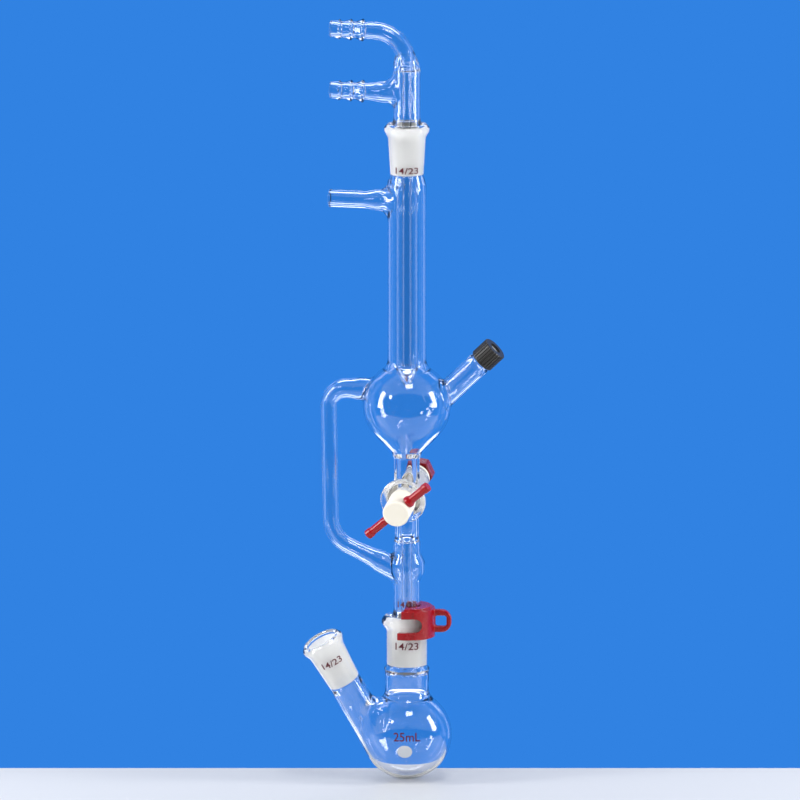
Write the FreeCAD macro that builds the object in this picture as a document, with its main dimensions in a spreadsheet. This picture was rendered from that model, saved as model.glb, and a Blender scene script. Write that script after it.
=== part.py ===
import FreeCAD, Part
import math
import os
import re
import Sketcher

# A small glass receiver for continuous distillation, on its two-neck flask and with its cold finger.
# Millimetres. +Z runs up the column, +X points to the screw port, -Y to the front of the stopcock.
# The origin lies on the column's axis, at the lowest point of the flask.

V = FreeCAD.Vector
X_AXIS = V(1, 0, 0)
Z_AXIS = V(0, 0, 1)
UPRIGHT = 90
NEAR = 0.01

SIZES = [
    ("joint_wide_d", 14.5, "wide end of every ground joint"),
    ("joint_length", 23, "length of every ground zone"),
    ("joint_taper", 0.1, "change of diameter along a ground joint, for each mm"),
    ("joint_gap", 0.04, "space between a cone and its socket, on the radius"),
    ("cone_proud", 0.8, "how far a cone's ground zone stands out of its socket"),
    ("turn_gap", 0.05, "space between pieces that turn on each other"),
    ("seat_gap", 0.05, "space between pieces that rest on each other"),
    ("over", 1, "how far a hollow runs past the glass that it opens"),
    ("glass_round", 0.6, "melted edges of the glass"),
    ("flask_d", 40.6, "outside of the flask's bulb"),
    ("flask_wall", 1.3, "glass of the flask's bulb"),
    ("flask_height", 75.1, "centre rim above the flask's lowest point"),
    ("neck_d", 18.8, "clear part of the centre neck"),
    ("neck_bore_d", 15.4, "inside of the centre neck below its ground zone"),
    ("socket_d", 18.2, "outside of the centre neck's ground zone"),
    ("zone_step", 0.5, "a socket's outside starts this far below its ground zone"),
    ("zone_slope", 2, "height of the slope up to it"),
    ("bore_slope", 1.5, "height of the slope from a neck's bore to its ground zone"),
    ("rim_d", 22.8, "bead at the top of the centre neck"),
    ("rim_flare", 6.2, "height over which a neck opens out to its bead"),
    ("rim_bead", 2.2, "height of the bead"),
    ("rim_round", 1.2, "rounding at the top of a bead"),
    ("bead_arc", 2, "radius of a bead's side"),
    ("side_lean", 30, "lean of the side neck from upright, degrees"),
    ("side_bearing", 32, "side neck turned from the left towards the front, degrees"),
    ("side_offset", 14.6, "side neck's axis from the bulb's centre, at its height"),
    ("side_length", 53.6, "side neck's axis from there to its rim"),
    ("side_tube_d", 14.6, "bottom of the side neck's ground zone, outside"),
    ("side_root_d", 15, "side neck where it leaves the bulb"),
    ("side_bore_d", 11.6, "inside of the side neck"),
    ("side_wall", 1.3, "its glass at the root"),
    ("side_socket_d", 16.9, "top of it"),
    ("side_rim_d", 19.6, "bead at the top of the side neck"),
    ("flask_fillet", 2.2, "blown fillet where the necks leave the bulb"),
    ("tip_length", 5.5, "drip end below the receiver's cone"),
    ("tip_d", 8.8, "outside of the drip end"),
    ("tip_grow", 0.3, "how much the drip end's radius grows upwards"),
    ("tip_wall", 1.2, "its glass"),
    ("tip_slant", 27, "slant of the drip end's cut, degrees"),
    ("shoulder", 3, "height of a cone's shoulder"),
    ("stem_d", 12, "stem between cone and ring seal"),
    ("stem_wall", 1.2, "glass of the stem"),
    ("bulge_d", 15.8, "widening where the bypass comes in"),
    ("bulge_z", 97.3, "middle of that widening"),
    ("bulge_flat", 4.5, "its full-width height"),
    ("bulge_slope", 4.2, "height of each of its slopes"),
    ("seal_z", 109, "ring seal between stem and drip tube"),
    ("seal_thick", 1.4, "glass of the ring seal"),
    ("seal_in", 0.8, "how far the ring seal's shoulder comes in"),
    ("seal_round", 1, "rounding under the ring seal"),
    ("outlet_d", 9.7, "tube below the stopcock"),
    ("outlet_bore_d", 5.4, "its bore"),
    ("outlet_slope", 4, "height over which the bore narrows to the drip tube"),
    ("drip_d", 5, "drip tube inside the stem"),
    ("drip_bore_d", 3.2, "its bore"),
    ("drip_low_z", 60, "its lower end"),
    ("cock_z", 130.7, "centre of the stopcock"),
    ("cock_tilt", 12, "stopcock's axis, down towards the front, degrees"),
    ("inlet_d", 10.8, "tube above the stopcock"),
    ("inlet_bore_d", 6.4, "its bore"),
    ("bulb_low_z", 150.3, "ring at the bottom of the bulb"),
    ("bulb_low_d", 13.6, "bulb at that ring"),
    ("bulb_neck", 2.5, "height of the slope below it"),
    ("bulb_z", 171.5, "centre of the bulb"),
    ("bulb_d", 39.8, "outside of the bulb"),
    ("bulb_wall", 1.3, "glass of the bulb"),
    ("bulb_cone", 45, "where the sphere gives way to a cone, degrees below its equator"),
    ("bulb_fillet", 2.5, "blown fillets round the bulb"),
    ("column_d", 17.5, "column above the bulb"),
    ("column_wall", 1.4, "glass of the column"),
    ("top_rim_z", 300.5, "top of the receiver"),
    ("top_rim_d", 20.4, "bead at the top"),
    ("top_socket_d", 17, "top of the upper socket's outside"),
    ("top_waist_d", 15, "bottom of the upper socket's outside"),
    ("top_neck", 5, "height of the slope from the column to the upper socket"),
    ("top_rim_bead", 3.2, "height of the bead at the top"),
    ("gas_z", 265, "height of the gas side arm"),
    ("gas_d", 8.1, "outside of the gas side arm"),
    ("gas_bore_d", 4.6, "its bore"),
    ("gas_reach", 35.7, "its end from the column's axis"),
    ("gas_root_d", 8.9, "its root, which is a little thicker"),
    ("gas_root", 13.2, "end of the root from the column's axis"),
    ("gas_root_slope", 1.2, "height of the slope between root and arm"),
    ("gas_fillet", 2.5, "blown fillet at its root"),
    ("arm_d", 7, "bypass arm"),
    ("arm_bore_d", 4.6, "its bore"),
    ("arm_reach", 36.2, "its upright run from the column's axis, at the top"),
    ("arm_reach_low", 35, "the same at the bottom"),
    ("arm_high_z", 179, "height of its upper run"),
    ("arm_low_z", 109.5, "height of its lower corner"),
    ("arm_slope", 24, "fall of its lower run, degrees"),
    ("arm_high_bend", 8.5, "radius of its upper bend"),
    ("arm_low_bend", 13.5, "radius of its lower bend"),
    ("arm_flare_d", 11, "blown flare at each of its ends"),
    ("arm_low_flare", 17, "length of the flare at the stem"),
    ("flare_sink", 0.1, "a flare's thin end lies this far inside the arm"),
    ("arm_inside", 3, "the arm's upper end starts this far inside the bulb's glass"),
    ("port_z", 160, "where the port's axis crosses the column's"),
    ("port_rise", 44, "rise of the port, degrees"),
    ("port_d", 10.8, "port tube"),
    ("port_wall", 1.3, "its glass"),
    ("port_round", 0.8, "rounding of its shoulder"),
    ("port_shoulder", 46.4, "its shoulder below the cap, along its axis"),
    ("port_neck_d", 8.3, "its threaded neck, without the thread"),
    ("port_neck", 7.4, "length of that neck"),
    ("port_neck_bore_d", 6, "bore of the neck"),
    ("port_bore_low", 3, "its slope starts this far below the shoulder"),
    ("port_bore_high", 1, "and ends this far below it"),
    ("cap_d", 11.6, "screw cap over its ribs"),
    ("cap_length", 9.1, "length of the cap"),
    ("cap_bore_d", 9.6, "inside of the cap"),
    ("cap_end", 1.1, "end wall of the cap"),
    ("cap_hole_d", 5.6, "hole in the end wall"),
    ("cap_ribs", 26, "number of ribs"),
    ("cap_groove_d", 0.8, "width of a groove between ribs"),
    ("cap_edge", 0.4, "bevel of the cap's end"),
    ("septum_thick", 1.8, "septum under the cap"),
    ("barrel_front", 9, "stopcock's axis crossing to the flange's face"),
    ("barrel_back", 18, "the same to the back of the barrel"),
    ("flange_d", 20.6, "front flange of the barrel"),
    ("flange_thick", 2, "its thickness"),
    ("flange_slope", 2, "height of the slope behind it"),
    ("flange_edge", 0.3, "bevel at its back"),
    ("barrel_d", 15.2, "barrel behind the flange"),
    ("barrel_back_d", 12.8, "barrel at its back"),
    ("plug_front_d", 11.8, "plug at the flange's face"),
    ("plug_back_d", 6.6, "plug at the back of the barrel"),
    ("plug_hole_d", 3, "cross bore of the plug"),
    ("head_d", 12.1, "head of the plug"),
    ("head_length", 14.4, "length of the head"),
    ("head_edge", 0.7, "rounding of the head's face"),
    ("head_step", 0.3, "gap between head and flange"),
    ("shank_d", 6, "threaded shank behind the plug"),
    ("shank_length", 10.4, "length of the shank"),
    ("shank_edge", 0.5, "bevel of the shank's end"),
    ("slide_gap", 0.15, "space round what slides on the shank or in the cap"),
    ("bar_length", 38.5, "handle bar"),
    ("bar_d", 3.9, "its diameter"),
    ("bar_end_d", 4.5, "its thicker ends"),
    ("bar_end", 3.2, "their length"),
    ("bar_end_slope", 0.6, "slope up to a thicker end"),
    ("bar_collar_d", 5.4, "collar against the head"),
    ("bar_collar", 3, "length of the collar"),
    ("bar_collar_gap", 0.2, "space between collar and head"),
    ("bar_from_face", 4.6, "bar behind the head's front face"),
    ("bar_angle", 41, "rise of the bar in the photo, degrees"),
    ("bar_round", 0.5, "rounding of the bar's ends"),
    ("washer_d", 12.4, "washer behind the barrel"),
    ("washer_thick", 1.6, "its thickness"),
    ("ring_wire_d", 2, "cord of the rubber ring"),
    ("nut_flats", 12.3, "nut across its flats"),
    ("nut_thick", 6.4, "thickness of the nut"),
    ("nut_edge", 0.5, "bevel of the nut's corners"),
    ("nut_turn", 52, "how the nut's flats lie, degrees"),
    ("finger_d", 9.9, "finger inside the column"),
    ("finger_wall", 1, "its glass"),
    ("finger_tip_z", 180.3, "drip point of the finger"),
    ("finger_tip_d", 2.4, "its width there"),
    ("finger_tip", 7.5, "height of the drip point's cone"),
    ("finger_tip_edge", 0.5, "height of its blunt end"),
    ("finger_in", 7, "height over which the cone narrows to the finger"),
    ("body_d", 12.5, "body above the finger's cone"),
    ("body_wall", 1.25, "its glass"),
    ("body_rise", 24.7, "ring seal in the body above the receiver's top"),
    ("body_shoulder", 6.5, "slope from the body to the bent tube"),
    ("hook_d", 8.2, "bent water tube"),
    ("hook_bore_d", 5, "its bore"),
    ("hook_rise", 17.2, "its level run above the ring seal"),
    ("hook_bend", 15, "radius of its bend"),
    ("hook_run", 2, "level run after the bend"),
    ("water_d", 4.5, "water tube inside the finger"),
    ("water_bore_d", 2.8, "its bore"),
    ("water_low", 9, "its open end above the drip point"),
    ("barb_reach", 35.2, "tips of the hose barbs from the column's axis"),
    ("barb_drop", 10.7, "lower barb below the ring seal"),
    ("barb_root_d", 7.4, "barb between its ridges"),
    ("barb_bore_d", 4.6, "bore of a barb"),
    ("barb_tip_d", 9.1, "first ridge"),
    ("barb_grow", 0.65, "how much wider each next ridge is"),
    ("barb_first", 4.2, "first ridge from the tip"),
    ("barb_pitch", 5.4, "from ridge to ridge"),
    ("barb_slope", 3.2, "length of a ridge's slope"),
    ("barb_ridges", 3, "number of ridges"),
    ("barb_flare_d", 11.5, "lower barb where it meets the body"),
    ("barb_elbow", 11, "radius of the sweep from the lower barb up into the body"),
    ("elbow_in", 1, "the sweep ends this far short of the body's axis"),
    ("elbow_run", 4, "level run before the sweep"),
    ("clip_d", 25.4, "back wall of the clip"),
    ("clip_arm_d", 24.2, "arms of the clip"),
    ("clip_gap", 0.25, "space between clip and glass"),
    ("clip_low_z", 65.7, "underside of the clip"),
    ("clip_low_arm", 3.2, "height of the lower arms"),
    ("clip_plate", 3.4, "height of the upper arms"),
    ("clip_collar", 1, "height of the collar round the stem"),
    ("clip_collar_d", 22.6, "outside of that collar"),
    ("clip_wrap_low", 214, "lower arms reach round, degrees"),
    ("clip_wrap_high", 196, "upper arms reach round, degrees"),
    ("clip_wrap_collar", 184, "collar reaches round, degrees"),
    ("clip_window_x", 4.4, "where the side windows start to round off"),
    ("clip_window_round", 3.2, "radius of their round ends"),
    ("clip_bearing", 8, "clip turned from +X, degrees"),
    ("loop_reach", 20.2, "finger loop from the axis"),
    ("loop_high", 10.4, "height of the loop"),
    ("loop_bar", 2.2, "thickness of the loop's bar"),
    ("loop_hole", 4.8, "height of the loop's hole"),
    ("loop_width", 3.4, "width of the loop's bar"),
    ("loop_root", 0.8, "how far its root lies in the clip's wall"),
    ("loop_rise", 0.6, "loop's middle above the clip's middle"),
    ("loop_end_round", 4.6, "rounding of the loop's end"),
    ("loop_hole_round", 1.1, "corners of the loop's hole"),
    ("loop_round", 0.8, "rounding of the loop's edges"),
]

doc = FreeCAD.newDocument("distillation_receiver")
sheet = doc.addObject("Spreadsheet::Sheet", "Sizes")
for row, (alias, amount, meaning) in enumerate(SIZES, start=1):
    sheet.set(f"A{row}", meaning)
    sheet.set(f"B{row}", str(amount))
    sheet.setAlias(f"B{row}", alias)
doc.recompute()

CELLS = {alias for alias, amount, meaning in SIZES}
WORKED_OUT = {}


def expand(text):
    """Point each name in an expression at its cell, or at the expression that it stands for."""

    def one(match):
        word = match.group(0)
        if word in WORKED_OUT:
            return WORKED_OUT[word]
        return f"Sizes.{word}" if word in CELLS else word

    return re.sub(r"\b[a-z][a-z0-9_]*\b", one, str(text))


def work_out(name, text):
    """Give a name to a length that follows from the sheet's cells."""
    WORKED_OUT[name] = f"({expand(text)})"


def value(text):
    """The present value of an expression."""
    return float(sheet.evalExpression(expand(text)))


def bind(thing, **expressions):
    """Tie properties of a thing to the sheet."""
    for prop, text in expressions.items():
        thing.setExpression(prop, expand(text))
    return thing


def put(thing, x="0", y="0", z="0", turns=()):
    """Place a thing. Each turn is an axis and an angle, and the last one in the list is made first."""
    spins = [f"rotation(vector({axis}); {expand(angle)})" for axis, angle in turns]
    spin = " * ".join(spins or ["rotation(vector(0; 0; 1); 0)"])
    thing.setExpression("Placement", f"placement(vector({expand(x)}; {expand(y)}; {expand(z)}); {spin})")
    return thing


def round_stretch(start, end, radius):
    """The short arc from start to end: a positive radius turns left, a negative one right."""
    middle = (start + end) * 0.5
    along = end - start
    left = V(-along.y, along.x, 0).normalize()
    reach = math.sqrt(max(radius**2 - (along.Length / 2) ** 2, 0))
    centre = middle + left * math.copysign(reach, radius)
    first, last = (start, end) if radius > 0 else (end, start)
    angles = [math.atan2(point.y - centre.y, point.x - centre.x) for point in (first, last)]
    if angles[1] < angles[0]:
        angles[1] += 2 * math.pi
    return Part.ArcOfCircle(Part.Circle(centre, Z_AXIS, abs(radius)), *angles)


def outline_sketch(name, outline):
    """A closed sketch through (x, y) points. A third entry is the radius of the stretch that follows."""
    sketch = doc.addObject("Sketcher::SketchObject", name)
    points = [V(value(row[0]), value(row[1]), 0) for row in outline]
    ends = []
    for i, row in enumerate(outline):
        start = points[i]
        end = points[(i + 1) % len(points)]
        if len(row) == 2:
            ends.append((sketch.addGeometry(Part.LineSegment(start, end)), 1, 2))
            continue
        radius = value(row[2])
        geo = sketch.addGeometry(round_stretch(start, end, radius))
        ends.append((geo, 1, 2) if radius > 0 else (geo, 2, 1))
        sign = "" if radius > 0 else "-"
        rule = sketch.addConstraint(Sketcher.Constraint("Radius", geo, abs(radius)))
        sketch.setExpression(f"Constraints[{rule}]", f"{sign}({expand(row[2])})")
    for i, row in enumerate(outline):
        geo, first, last = ends[i]
        after, after_first, _ = ends[(i + 1) % len(ends)]
        sketch.addConstraint(Sketcher.Constraint("Coincident", geo, last, after, after_first))
        for kind, text, amount in (("DistanceX", row[0], points[i].x), ("DistanceY", row[1], points[i].y)):
            rule = sketch.addConstraint(Sketcher.Constraint(kind, -1, 1, geo, first, amount))
            sketch.setExpression(f"Constraints[{rule}]", expand(text))
    return sketch


def turned(name, outline):
    """A solid turned about its own Z axis from an outline of (radius, height) points."""
    sketch = outline_sketch(f"{name}_outline", outline)
    sketch.Placement = FreeCAD.Placement(V(), FreeCAD.Rotation(X_AXIS, UPRIGHT))
    solid = doc.addObject("Part::Revolution", name)
    solid.Source = sketch
    solid.Axis = Z_AXIS
    solid.Angle = 360
    solid.Solid = True
    return solid


def rod(name, radius, length):
    """A plain round bar along its own Z axis."""
    return bind(doc.addObject("Part::Cylinder", name), Radius=radius, Height=length)


def joined(name, *things):
    """One solid out of several that overlap."""
    whole = doc.addObject("Part::MultiFuse", name)
    whole.Shapes = list(things)
    return whole


def without(name, thing, *hollows):
    """A thing with its hollows taken out."""
    tool = hollows[0] if len(hollows) == 1 else joined(f"{name}_hollows", *hollows)
    rest = doc.addObject("Part::Cut", name)
    rest.Base = thing
    rest.Tool = tool
    return rest


def rounded(name, thing, radius, wanted):
    """Round the edges for which wanted(edge) is true."""
    doc.recompute()
    size = value(radius)
    numbers = [i for i, edge in enumerate(thing.Shape.Edges, start=1) if wanted(edge)]
    smooth = doc.addObject("Part::Fillet", name)
    smooth.Base = thing
    smooth.Edges = [(number, size, size) for number in numbers]
    return smooth


def path_sketch(name, corners, bends):
    """An open route through corners, straight runs joined by tangent arcs of the radii in bends."""
    sketch = doc.addObject("Sketcher::SketchObject", name)
    points = [V(value(x), value(y), 0) for x, y in corners]
    runs = [[points[0]]]
    arcs = []
    for i, radius in enumerate(bends, start=1):
        back = (points[i - 1] - points[i]).normalize()
        on = (points[i + 1] - points[i]).normalize()
        half = back.getAngle(on) / 2
        setback = value(radius) / math.tan(half)
        centre = points[i] + (back + on).normalize() * (value(radius) / math.sin(half))
        enter = points[i] + back * setback
        leave = points[i] + on * setback
        turn_left = back.cross(on).z < 0
        signed = value(radius) if turn_left else -value(radius)
        arcs.append((round_stretch(enter, leave, signed), turn_left))
        runs[-1].append(enter)
        runs.append([leave])
    runs[-1].append(points[-1])
    lines = [sketch.addGeometry(Part.LineSegment(*run)) for run in runs]
    spots = [sketch.addGeometry(Part.Point(point), True) for point in points]
    for spot, (x, y), point in zip(spots, corners, points):
        for kind, text, amount in (("DistanceX", x, point.x), ("DistanceY", y, point.y)):
            rule = sketch.addConstraint(Sketcher.Constraint(kind, -1, 1, spot, 1, amount))
            sketch.setExpression(f"Constraints[{rule}]", expand(text))
    sketch.addConstraint(Sketcher.Constraint("Coincident", lines[0], 1, spots[0], 1))
    sketch.addConstraint(Sketcher.Constraint("Coincident", lines[-1], 2, spots[-1], 1))
    for i, (arc, turn_left) in enumerate(arcs):
        geo = sketch.addGeometry(arc)
        enter, leave = (1, 2) if turn_left else (2, 1)
        sketch.addConstraint(Sketcher.Constraint("PointOnObject", spots[i + 1], 1, lines[i]))
        sketch.addConstraint(Sketcher.Constraint("PointOnObject", spots[i + 1], 1, lines[i + 1]))
        sketch.addConstraint(Sketcher.Constraint("Tangent", lines[i], 2, geo, enter))
        sketch.addConstraint(Sketcher.Constraint("Tangent", lines[i + 1], 1, geo, leave))
        rule = sketch.addConstraint(Sketcher.Constraint("Radius", geo, value(bends[i])))
        sketch.setExpression(f"Constraints[{rule}]", expand(bends[i]))
    sketch.Placement = FreeCAD.Placement(V(), FreeCAD.Rotation(X_AXIS, UPRIGHT))
    return sketch


def bent_rod(name, route, radius, x, z, lean):
    """A round bar along a route in the XZ plane that starts at x, z and leans by an angle from +Z."""
    ring = bind(doc.addObject("Part::Circle", f"{name}_ring"), Radius=radius)
    put(ring, x=x, z=z, turns=[("0; 1; 0", lean)])
    doc.recompute()
    bar = doc.addObject("Part::Sweep", name)
    bar.Sections = [ring]
    bar.Spine = (route, [f"Edge{i}" for i in range(1, len(route.Shape.Edges) + 1)])
    bar.Solid = True
    bar.Frenet = False
    return bar


def bead_outside(reach, wide_d, bead_d):
    """Outline of a neck's outside where it opens out to its bead, with its rim at the height reach."""
    return [
        (f"{wide_d} / 2", f"{reach} - rim_flare"),
        (f"{bead_d} / 2", f"{reach} - rim_bead", "bead_arc"),
        (f"{bead_d} / 2", f"{reach} - rim_round", "rim_round"),
        (f"{bead_d} / 2 - rim_round", reach),
        ("0", reach),
    ]


def socket_inside(reach, bore_d):
    """Outline of a neck's inside, from its bore up through the ground zone and out past the rim."""
    return [
        (f"{bore_d} / 2", f"{reach} - joint_length - bore_slope"),
        ("joint_small_r", f"{reach} - joint_length"),
        ("joint_wide_d / 2", reach),
        ("joint_wide_d / 2 + over", f"{reach} + over"),
        ("0", f"{reach} + over"),
    ]


work_out("joint_small_r", "joint_wide_d / 2 - joint_length * joint_taper / 2")
work_out("cone_low_r", "joint_small_r + cone_proud * joint_taper / 2 - joint_gap")
work_out("cone_high_r", "joint_wide_d / 2 + cone_proud * joint_taper / 2 - joint_gap")
work_out("cone_high_z", "flask_height + cone_proud")
work_out("cone_low_z", "cone_high_z - joint_length")
work_out("flask_r", "flask_d / 2")
work_out("flask_in_r", "flask_r - flask_wall")
work_out("side_start", "-side_offset * sin(side_lean)")

# Flask: a blown bulb with an upright centre neck and a leaning side neck.
flask_upright = turned("flask_upright", [
    ("0", "0", "flask_r"),
    ("neck_d / 2", "flask_r + sqrt(flask_r ^ 2 - neck_d ^ 2 / 4)"),
    ("neck_d / 2", "flask_height - joint_length - zone_step - zone_slope"),
    ("socket_d / 2", "flask_height - joint_length - zone_step"),
    *bead_outside("flask_height", "socket_d", "rim_d"),
])
flask_side = turned("flask_side", [
    ("0", "side_start"),
    ("side_root_d / 2", "side_start"),
    ("side_tube_d / 2", "side_length - joint_length - zone_step"),
    *bead_outside("side_length", "side_socket_d", "side_rim_d"),
])
flask_inside = turned("flask_inside", [
    ("0", "flask_wall", "flask_in_r"),
    ("neck_bore_d / 2", "flask_r + sqrt(flask_in_r ^ 2 - neck_bore_d ^ 2 / 4)"),
    *socket_inside("flask_height", "neck_bore_d"),
])
flask_side_inside = turned("flask_side_inside", [
    ("0", "side_start"),
    ("side_root_d / 2 - side_wall", "side_start"),
    *socket_inside("side_length", "side_bore_d"),
])
for part in (flask_side, flask_side_inside):
    put(part, x="-side_offset * cos(side_bearing)", y="-side_offset * sin(side_bearing)", z="flask_r",
        turns=[("0; 0; 1", "side_bearing"), ("0; 1; 0", "-side_lean")])


def samples(edge):
    """Three points along an edge."""
    return [edge.valueAt(edge.getParameterByLength(edge.Length * share)) for share in (0.1, 0.4, 0.8)]


def at_flask_necks(edge):
    """The seams where the necks leave the bulb lie on the bulb's own sphere."""
    centre = V(0, 0, value("flask_r"))
    on_ball = all(abs((spot - centre).Length - value("flask_r")) < NEAR for spot in samples(edge))
    return on_ball and edge.Length > value("side_tube_d") and edge.isClosed()


flask_outside = joined("flask_outside", flask_upright, flask_side)
flask_smooth = rounded("flask_smooth", flask_outside, "flask_fillet", at_flask_necks)
flask = without("flask", flask_smooth, flask_inside, flask_side_inside)

# Receiver: the upright glass from the drip end to the top socket.
work_out("tip_z", "cone_low_z - tip_length")
work_out("bulge_low_z", "bulge_z - bulge_flat / 2")
work_out("bulge_high_z", "bulge_z + bulge_flat / 2")
work_out("bulb_r", "bulb_d / 2")
work_out("bulb_in_r", "bulb_r - bulb_wall")
work_out("column_r", "column_d / 2")
work_out("column_in_r", "column_r - column_wall")
work_out("top_cone_low_z", "top_rim_z - joint_length")
receiver_upright = turned("receiver_upright", [
    ("0", "tip_z"),
    ("tip_d / 2", "tip_z"),
    ("tip_d / 2 + tip_grow", "cone_low_z - zone_step - zone_slope"),
    ("cone_low_r", "cone_low_z"),
    ("cone_high_r", "cone_high_z"),
    ("stem_d / 2", "cone_high_z + shoulder"),
    ("stem_d / 2", "bulge_low_z - bulge_slope"),
    ("bulge_d / 2", "bulge_low_z"),
    ("bulge_d / 2", "bulge_high_z"),
    ("stem_d / 2", "bulge_high_z + bulge_slope"),
    ("stem_d / 2", "seal_z", "seal_thick"),
    ("stem_d / 2 - seal_in", "seal_z + seal_thick"),
    ("outlet_d / 2", "seal_z + seal_thick + glass_round"),
    ("outlet_d / 2", "cock_z"),
    ("inlet_d / 2", "cock_z"),
    ("inlet_d / 2", "bulb_low_z - bulb_neck"),
    ("bulb_low_d / 2", "bulb_low_z"),
    ("bulb_r * cos(bulb_cone)", "bulb_z - bulb_r * sin(bulb_cone)", "bulb_r"),
    ("column_r", "bulb_z + sqrt(bulb_r ^ 2 - column_r ^ 2)"),
    ("column_r", "top_cone_low_z - top_neck"),
    ("top_waist_d / 2", "top_cone_low_z - zone_step"),
    ("top_socket_d / 2", "top_rim_z - rim_flare"),
    ("top_rim_d / 2", "top_rim_z - top_rim_bead", "bead_arc"),
    ("top_rim_d / 2", "top_rim_z - rim_round", "rim_round"),
    ("top_rim_d / 2 - rim_round", "top_rim_z"),
    ("0", "top_rim_z"),
])

# Barrel of the stopcock, turned about its own axis, with its front towards +Z.
FRONTWARD = [("1; 0; 0", "90 + cock_tilt")]
barrel = turned("barrel", [
    ("0", "-barrel_back"),
    ("barrel_back_d / 2 - glass_round", "-barrel_back", "glass_round"),
    ("barrel_back_d / 2", "glass_round - barrel_back"),
    ("barrel_d / 2", "barrel_front - flange_thick - flange_slope"),
    ("flange_d / 2 - flange_edge", "barrel_front - flange_thick"),
    ("flange_d / 2", "barrel_front - flange_thick + flange_edge"),
    ("flange_d / 2", "barrel_front - glass_round", "glass_round"),
    ("flange_d / 2 - glass_round", "barrel_front"),
    ("0", "barrel_front"),
])
barrel_bore = turned("barrel_bore", [
    ("0", "-barrel_back - over"),
    ("plug_back_d / 2 + turn_gap", "-barrel_back - over"),
    ("plug_back_d / 2 + turn_gap", "-barrel_back"),
    ("plug_front_d / 2 + turn_gap", "barrel_front"),
    ("plug_front_d / 2 + turn_gap", "barrel_front + over"),
    ("0", "barrel_front + over"),
])
for part in (barrel, barrel_bore):
    put(part, z="cock_z", turns=FRONTWARD)

# Gas side arm, to the left under the top socket.
LEFTWARD = [("0; 1; 0", "-90")]
gas_arm = turned("gas_arm", [
    ("0", "0"),
    ("gas_root_d / 2", "0"),
    ("gas_root_d / 2", "gas_root - gas_root_slope"),
    ("gas_d / 2", "gas_root"),
    ("gas_d / 2", "gas_reach - glass_round", "glass_round"),
    ("gas_d / 2 - glass_round", "gas_reach"),
    ("0", "gas_reach"),
])
gas_bore = rod("gas_bore", "gas_bore_d / 2", "gas_reach + over")
for part in (gas_arm, gas_bore):
    put(part, z="gas_z", turns=LEFTWARD)

# Screw port, rising to the right out of the bulb.
PORTWARD = [("0; 1; 0", "90 - port_rise")]
work_out("port_neck_end", "port_shoulder + port_neck")
port = turned("port", [
    ("0", "port_d"),
    ("port_d / 2", "port_d"),
    ("port_d / 2", "port_shoulder - port_round", "port_round"),
    ("port_d / 2 - port_round", "port_shoulder"),
    ("port_neck_d / 2", "port_shoulder"),
    ("port_neck_d / 2", "port_neck_end"),
    ("0", "port_neck_end"),
])
port_bore = turned("port_bore", [
    ("0", "port_d"),
    ("port_d / 2 - port_wall", "port_d"),
    ("port_d / 2 - port_wall", "port_shoulder - port_bore_low"),
    ("port_neck_bore_d / 2", "port_shoulder - port_bore_high"),
    ("port_neck_bore_d / 2", "port_neck_end + over"),
    ("0", "port_neck_end + over"),
])
for part in (port, port_bore):
    put(part, z="port_z", turns=PORTWARD)

# Bypass arm: out of the bulb to the left, down, and back into the widened stem.
work_out("arm_start", "arm_inside - bulb_in_r")
work_out("arm_end", "-stem_d / 4")
work_out("arm_end_z", "arm_low_z - (arm_reach_low - stem_d / 4) * tan(arm_slope)")
arm_path = path_sketch("arm_path", [
    ("arm_start", "arm_high_z"),
    ("-arm_reach", "arm_high_z"),
    ("-arm_reach_low", "arm_low_z"),
    ("arm_end", "arm_end_z"),
], ["arm_high_bend", "arm_low_bend"])
arm = bent_rod("arm", arm_path, "arm_d / 2", "arm_start", "arm_high_z", "-90")
arm_bore = bent_rod("arm_bore", arm_path, "arm_bore_d / 2", "arm_start", "arm_high_z", "-90")


def flare(name, thin_at, x, z, lean):
    """A blown cone that widens the bypass arm towards the wall that it joins."""
    cone = doc.addObject("Part::Cone", name)
    bind(cone, Radius1="arm_flare_d / 2", Radius2="arm_d / 2 - flare_sink", Height=thin_at)
    return put(cone, x=x, z=z, turns=[("0; 1; 0", lean)])


high_flare = flare("high_flare", "arm_reach - arm_high_bend + arm_start", "arm_start", "arm_high_z", "-90")
low_flare = flare("low_flare", "arm_low_flare", "arm_end", "arm_end_z", "arm_slope - 90")

receiver_pieces = [receiver_upright, barrel, gas_arm, port, arm, high_flare, low_flare]
receiver_outside = joined("receiver_outside", *receiver_pieces)


def off_axis(point, base, along):
    """Distance of a point from an axis."""
    return (point - base).cross(along).Length


def at_gas_root(edge):
    """The seam between the gas side arm and the column."""
    base = V(0, 0, value("gas_z"))
    on_arm = all(abs(off_axis(spot, base, X_AXIS) - value("gas_root_d / 2")) < NEAR for spot in samples(edge))
    return on_arm and edge.CenterOfMass.x > -value("column_r")


def at_port_root(edge):
    """The seam between the screw port and the bulb."""
    rise = math.radians(value("port_rise"))
    along = V(math.cos(rise), 0, math.sin(rise))
    base = V(0, 0, value("port_z"))
    on_port = all(abs(off_axis(spot, base, along) - value("port_d / 2")) < NEAR for spot in samples(edge))
    return on_port and edge.CenterOfMass.x < value("bulb_r + over")


receiver_port_smooth = rounded("receiver_port_smooth", receiver_outside, "bulb_fillet", at_port_root)
receiver_smooth = rounded("receiver_smooth", receiver_port_smooth, "gas_fillet", at_gas_root)

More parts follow.
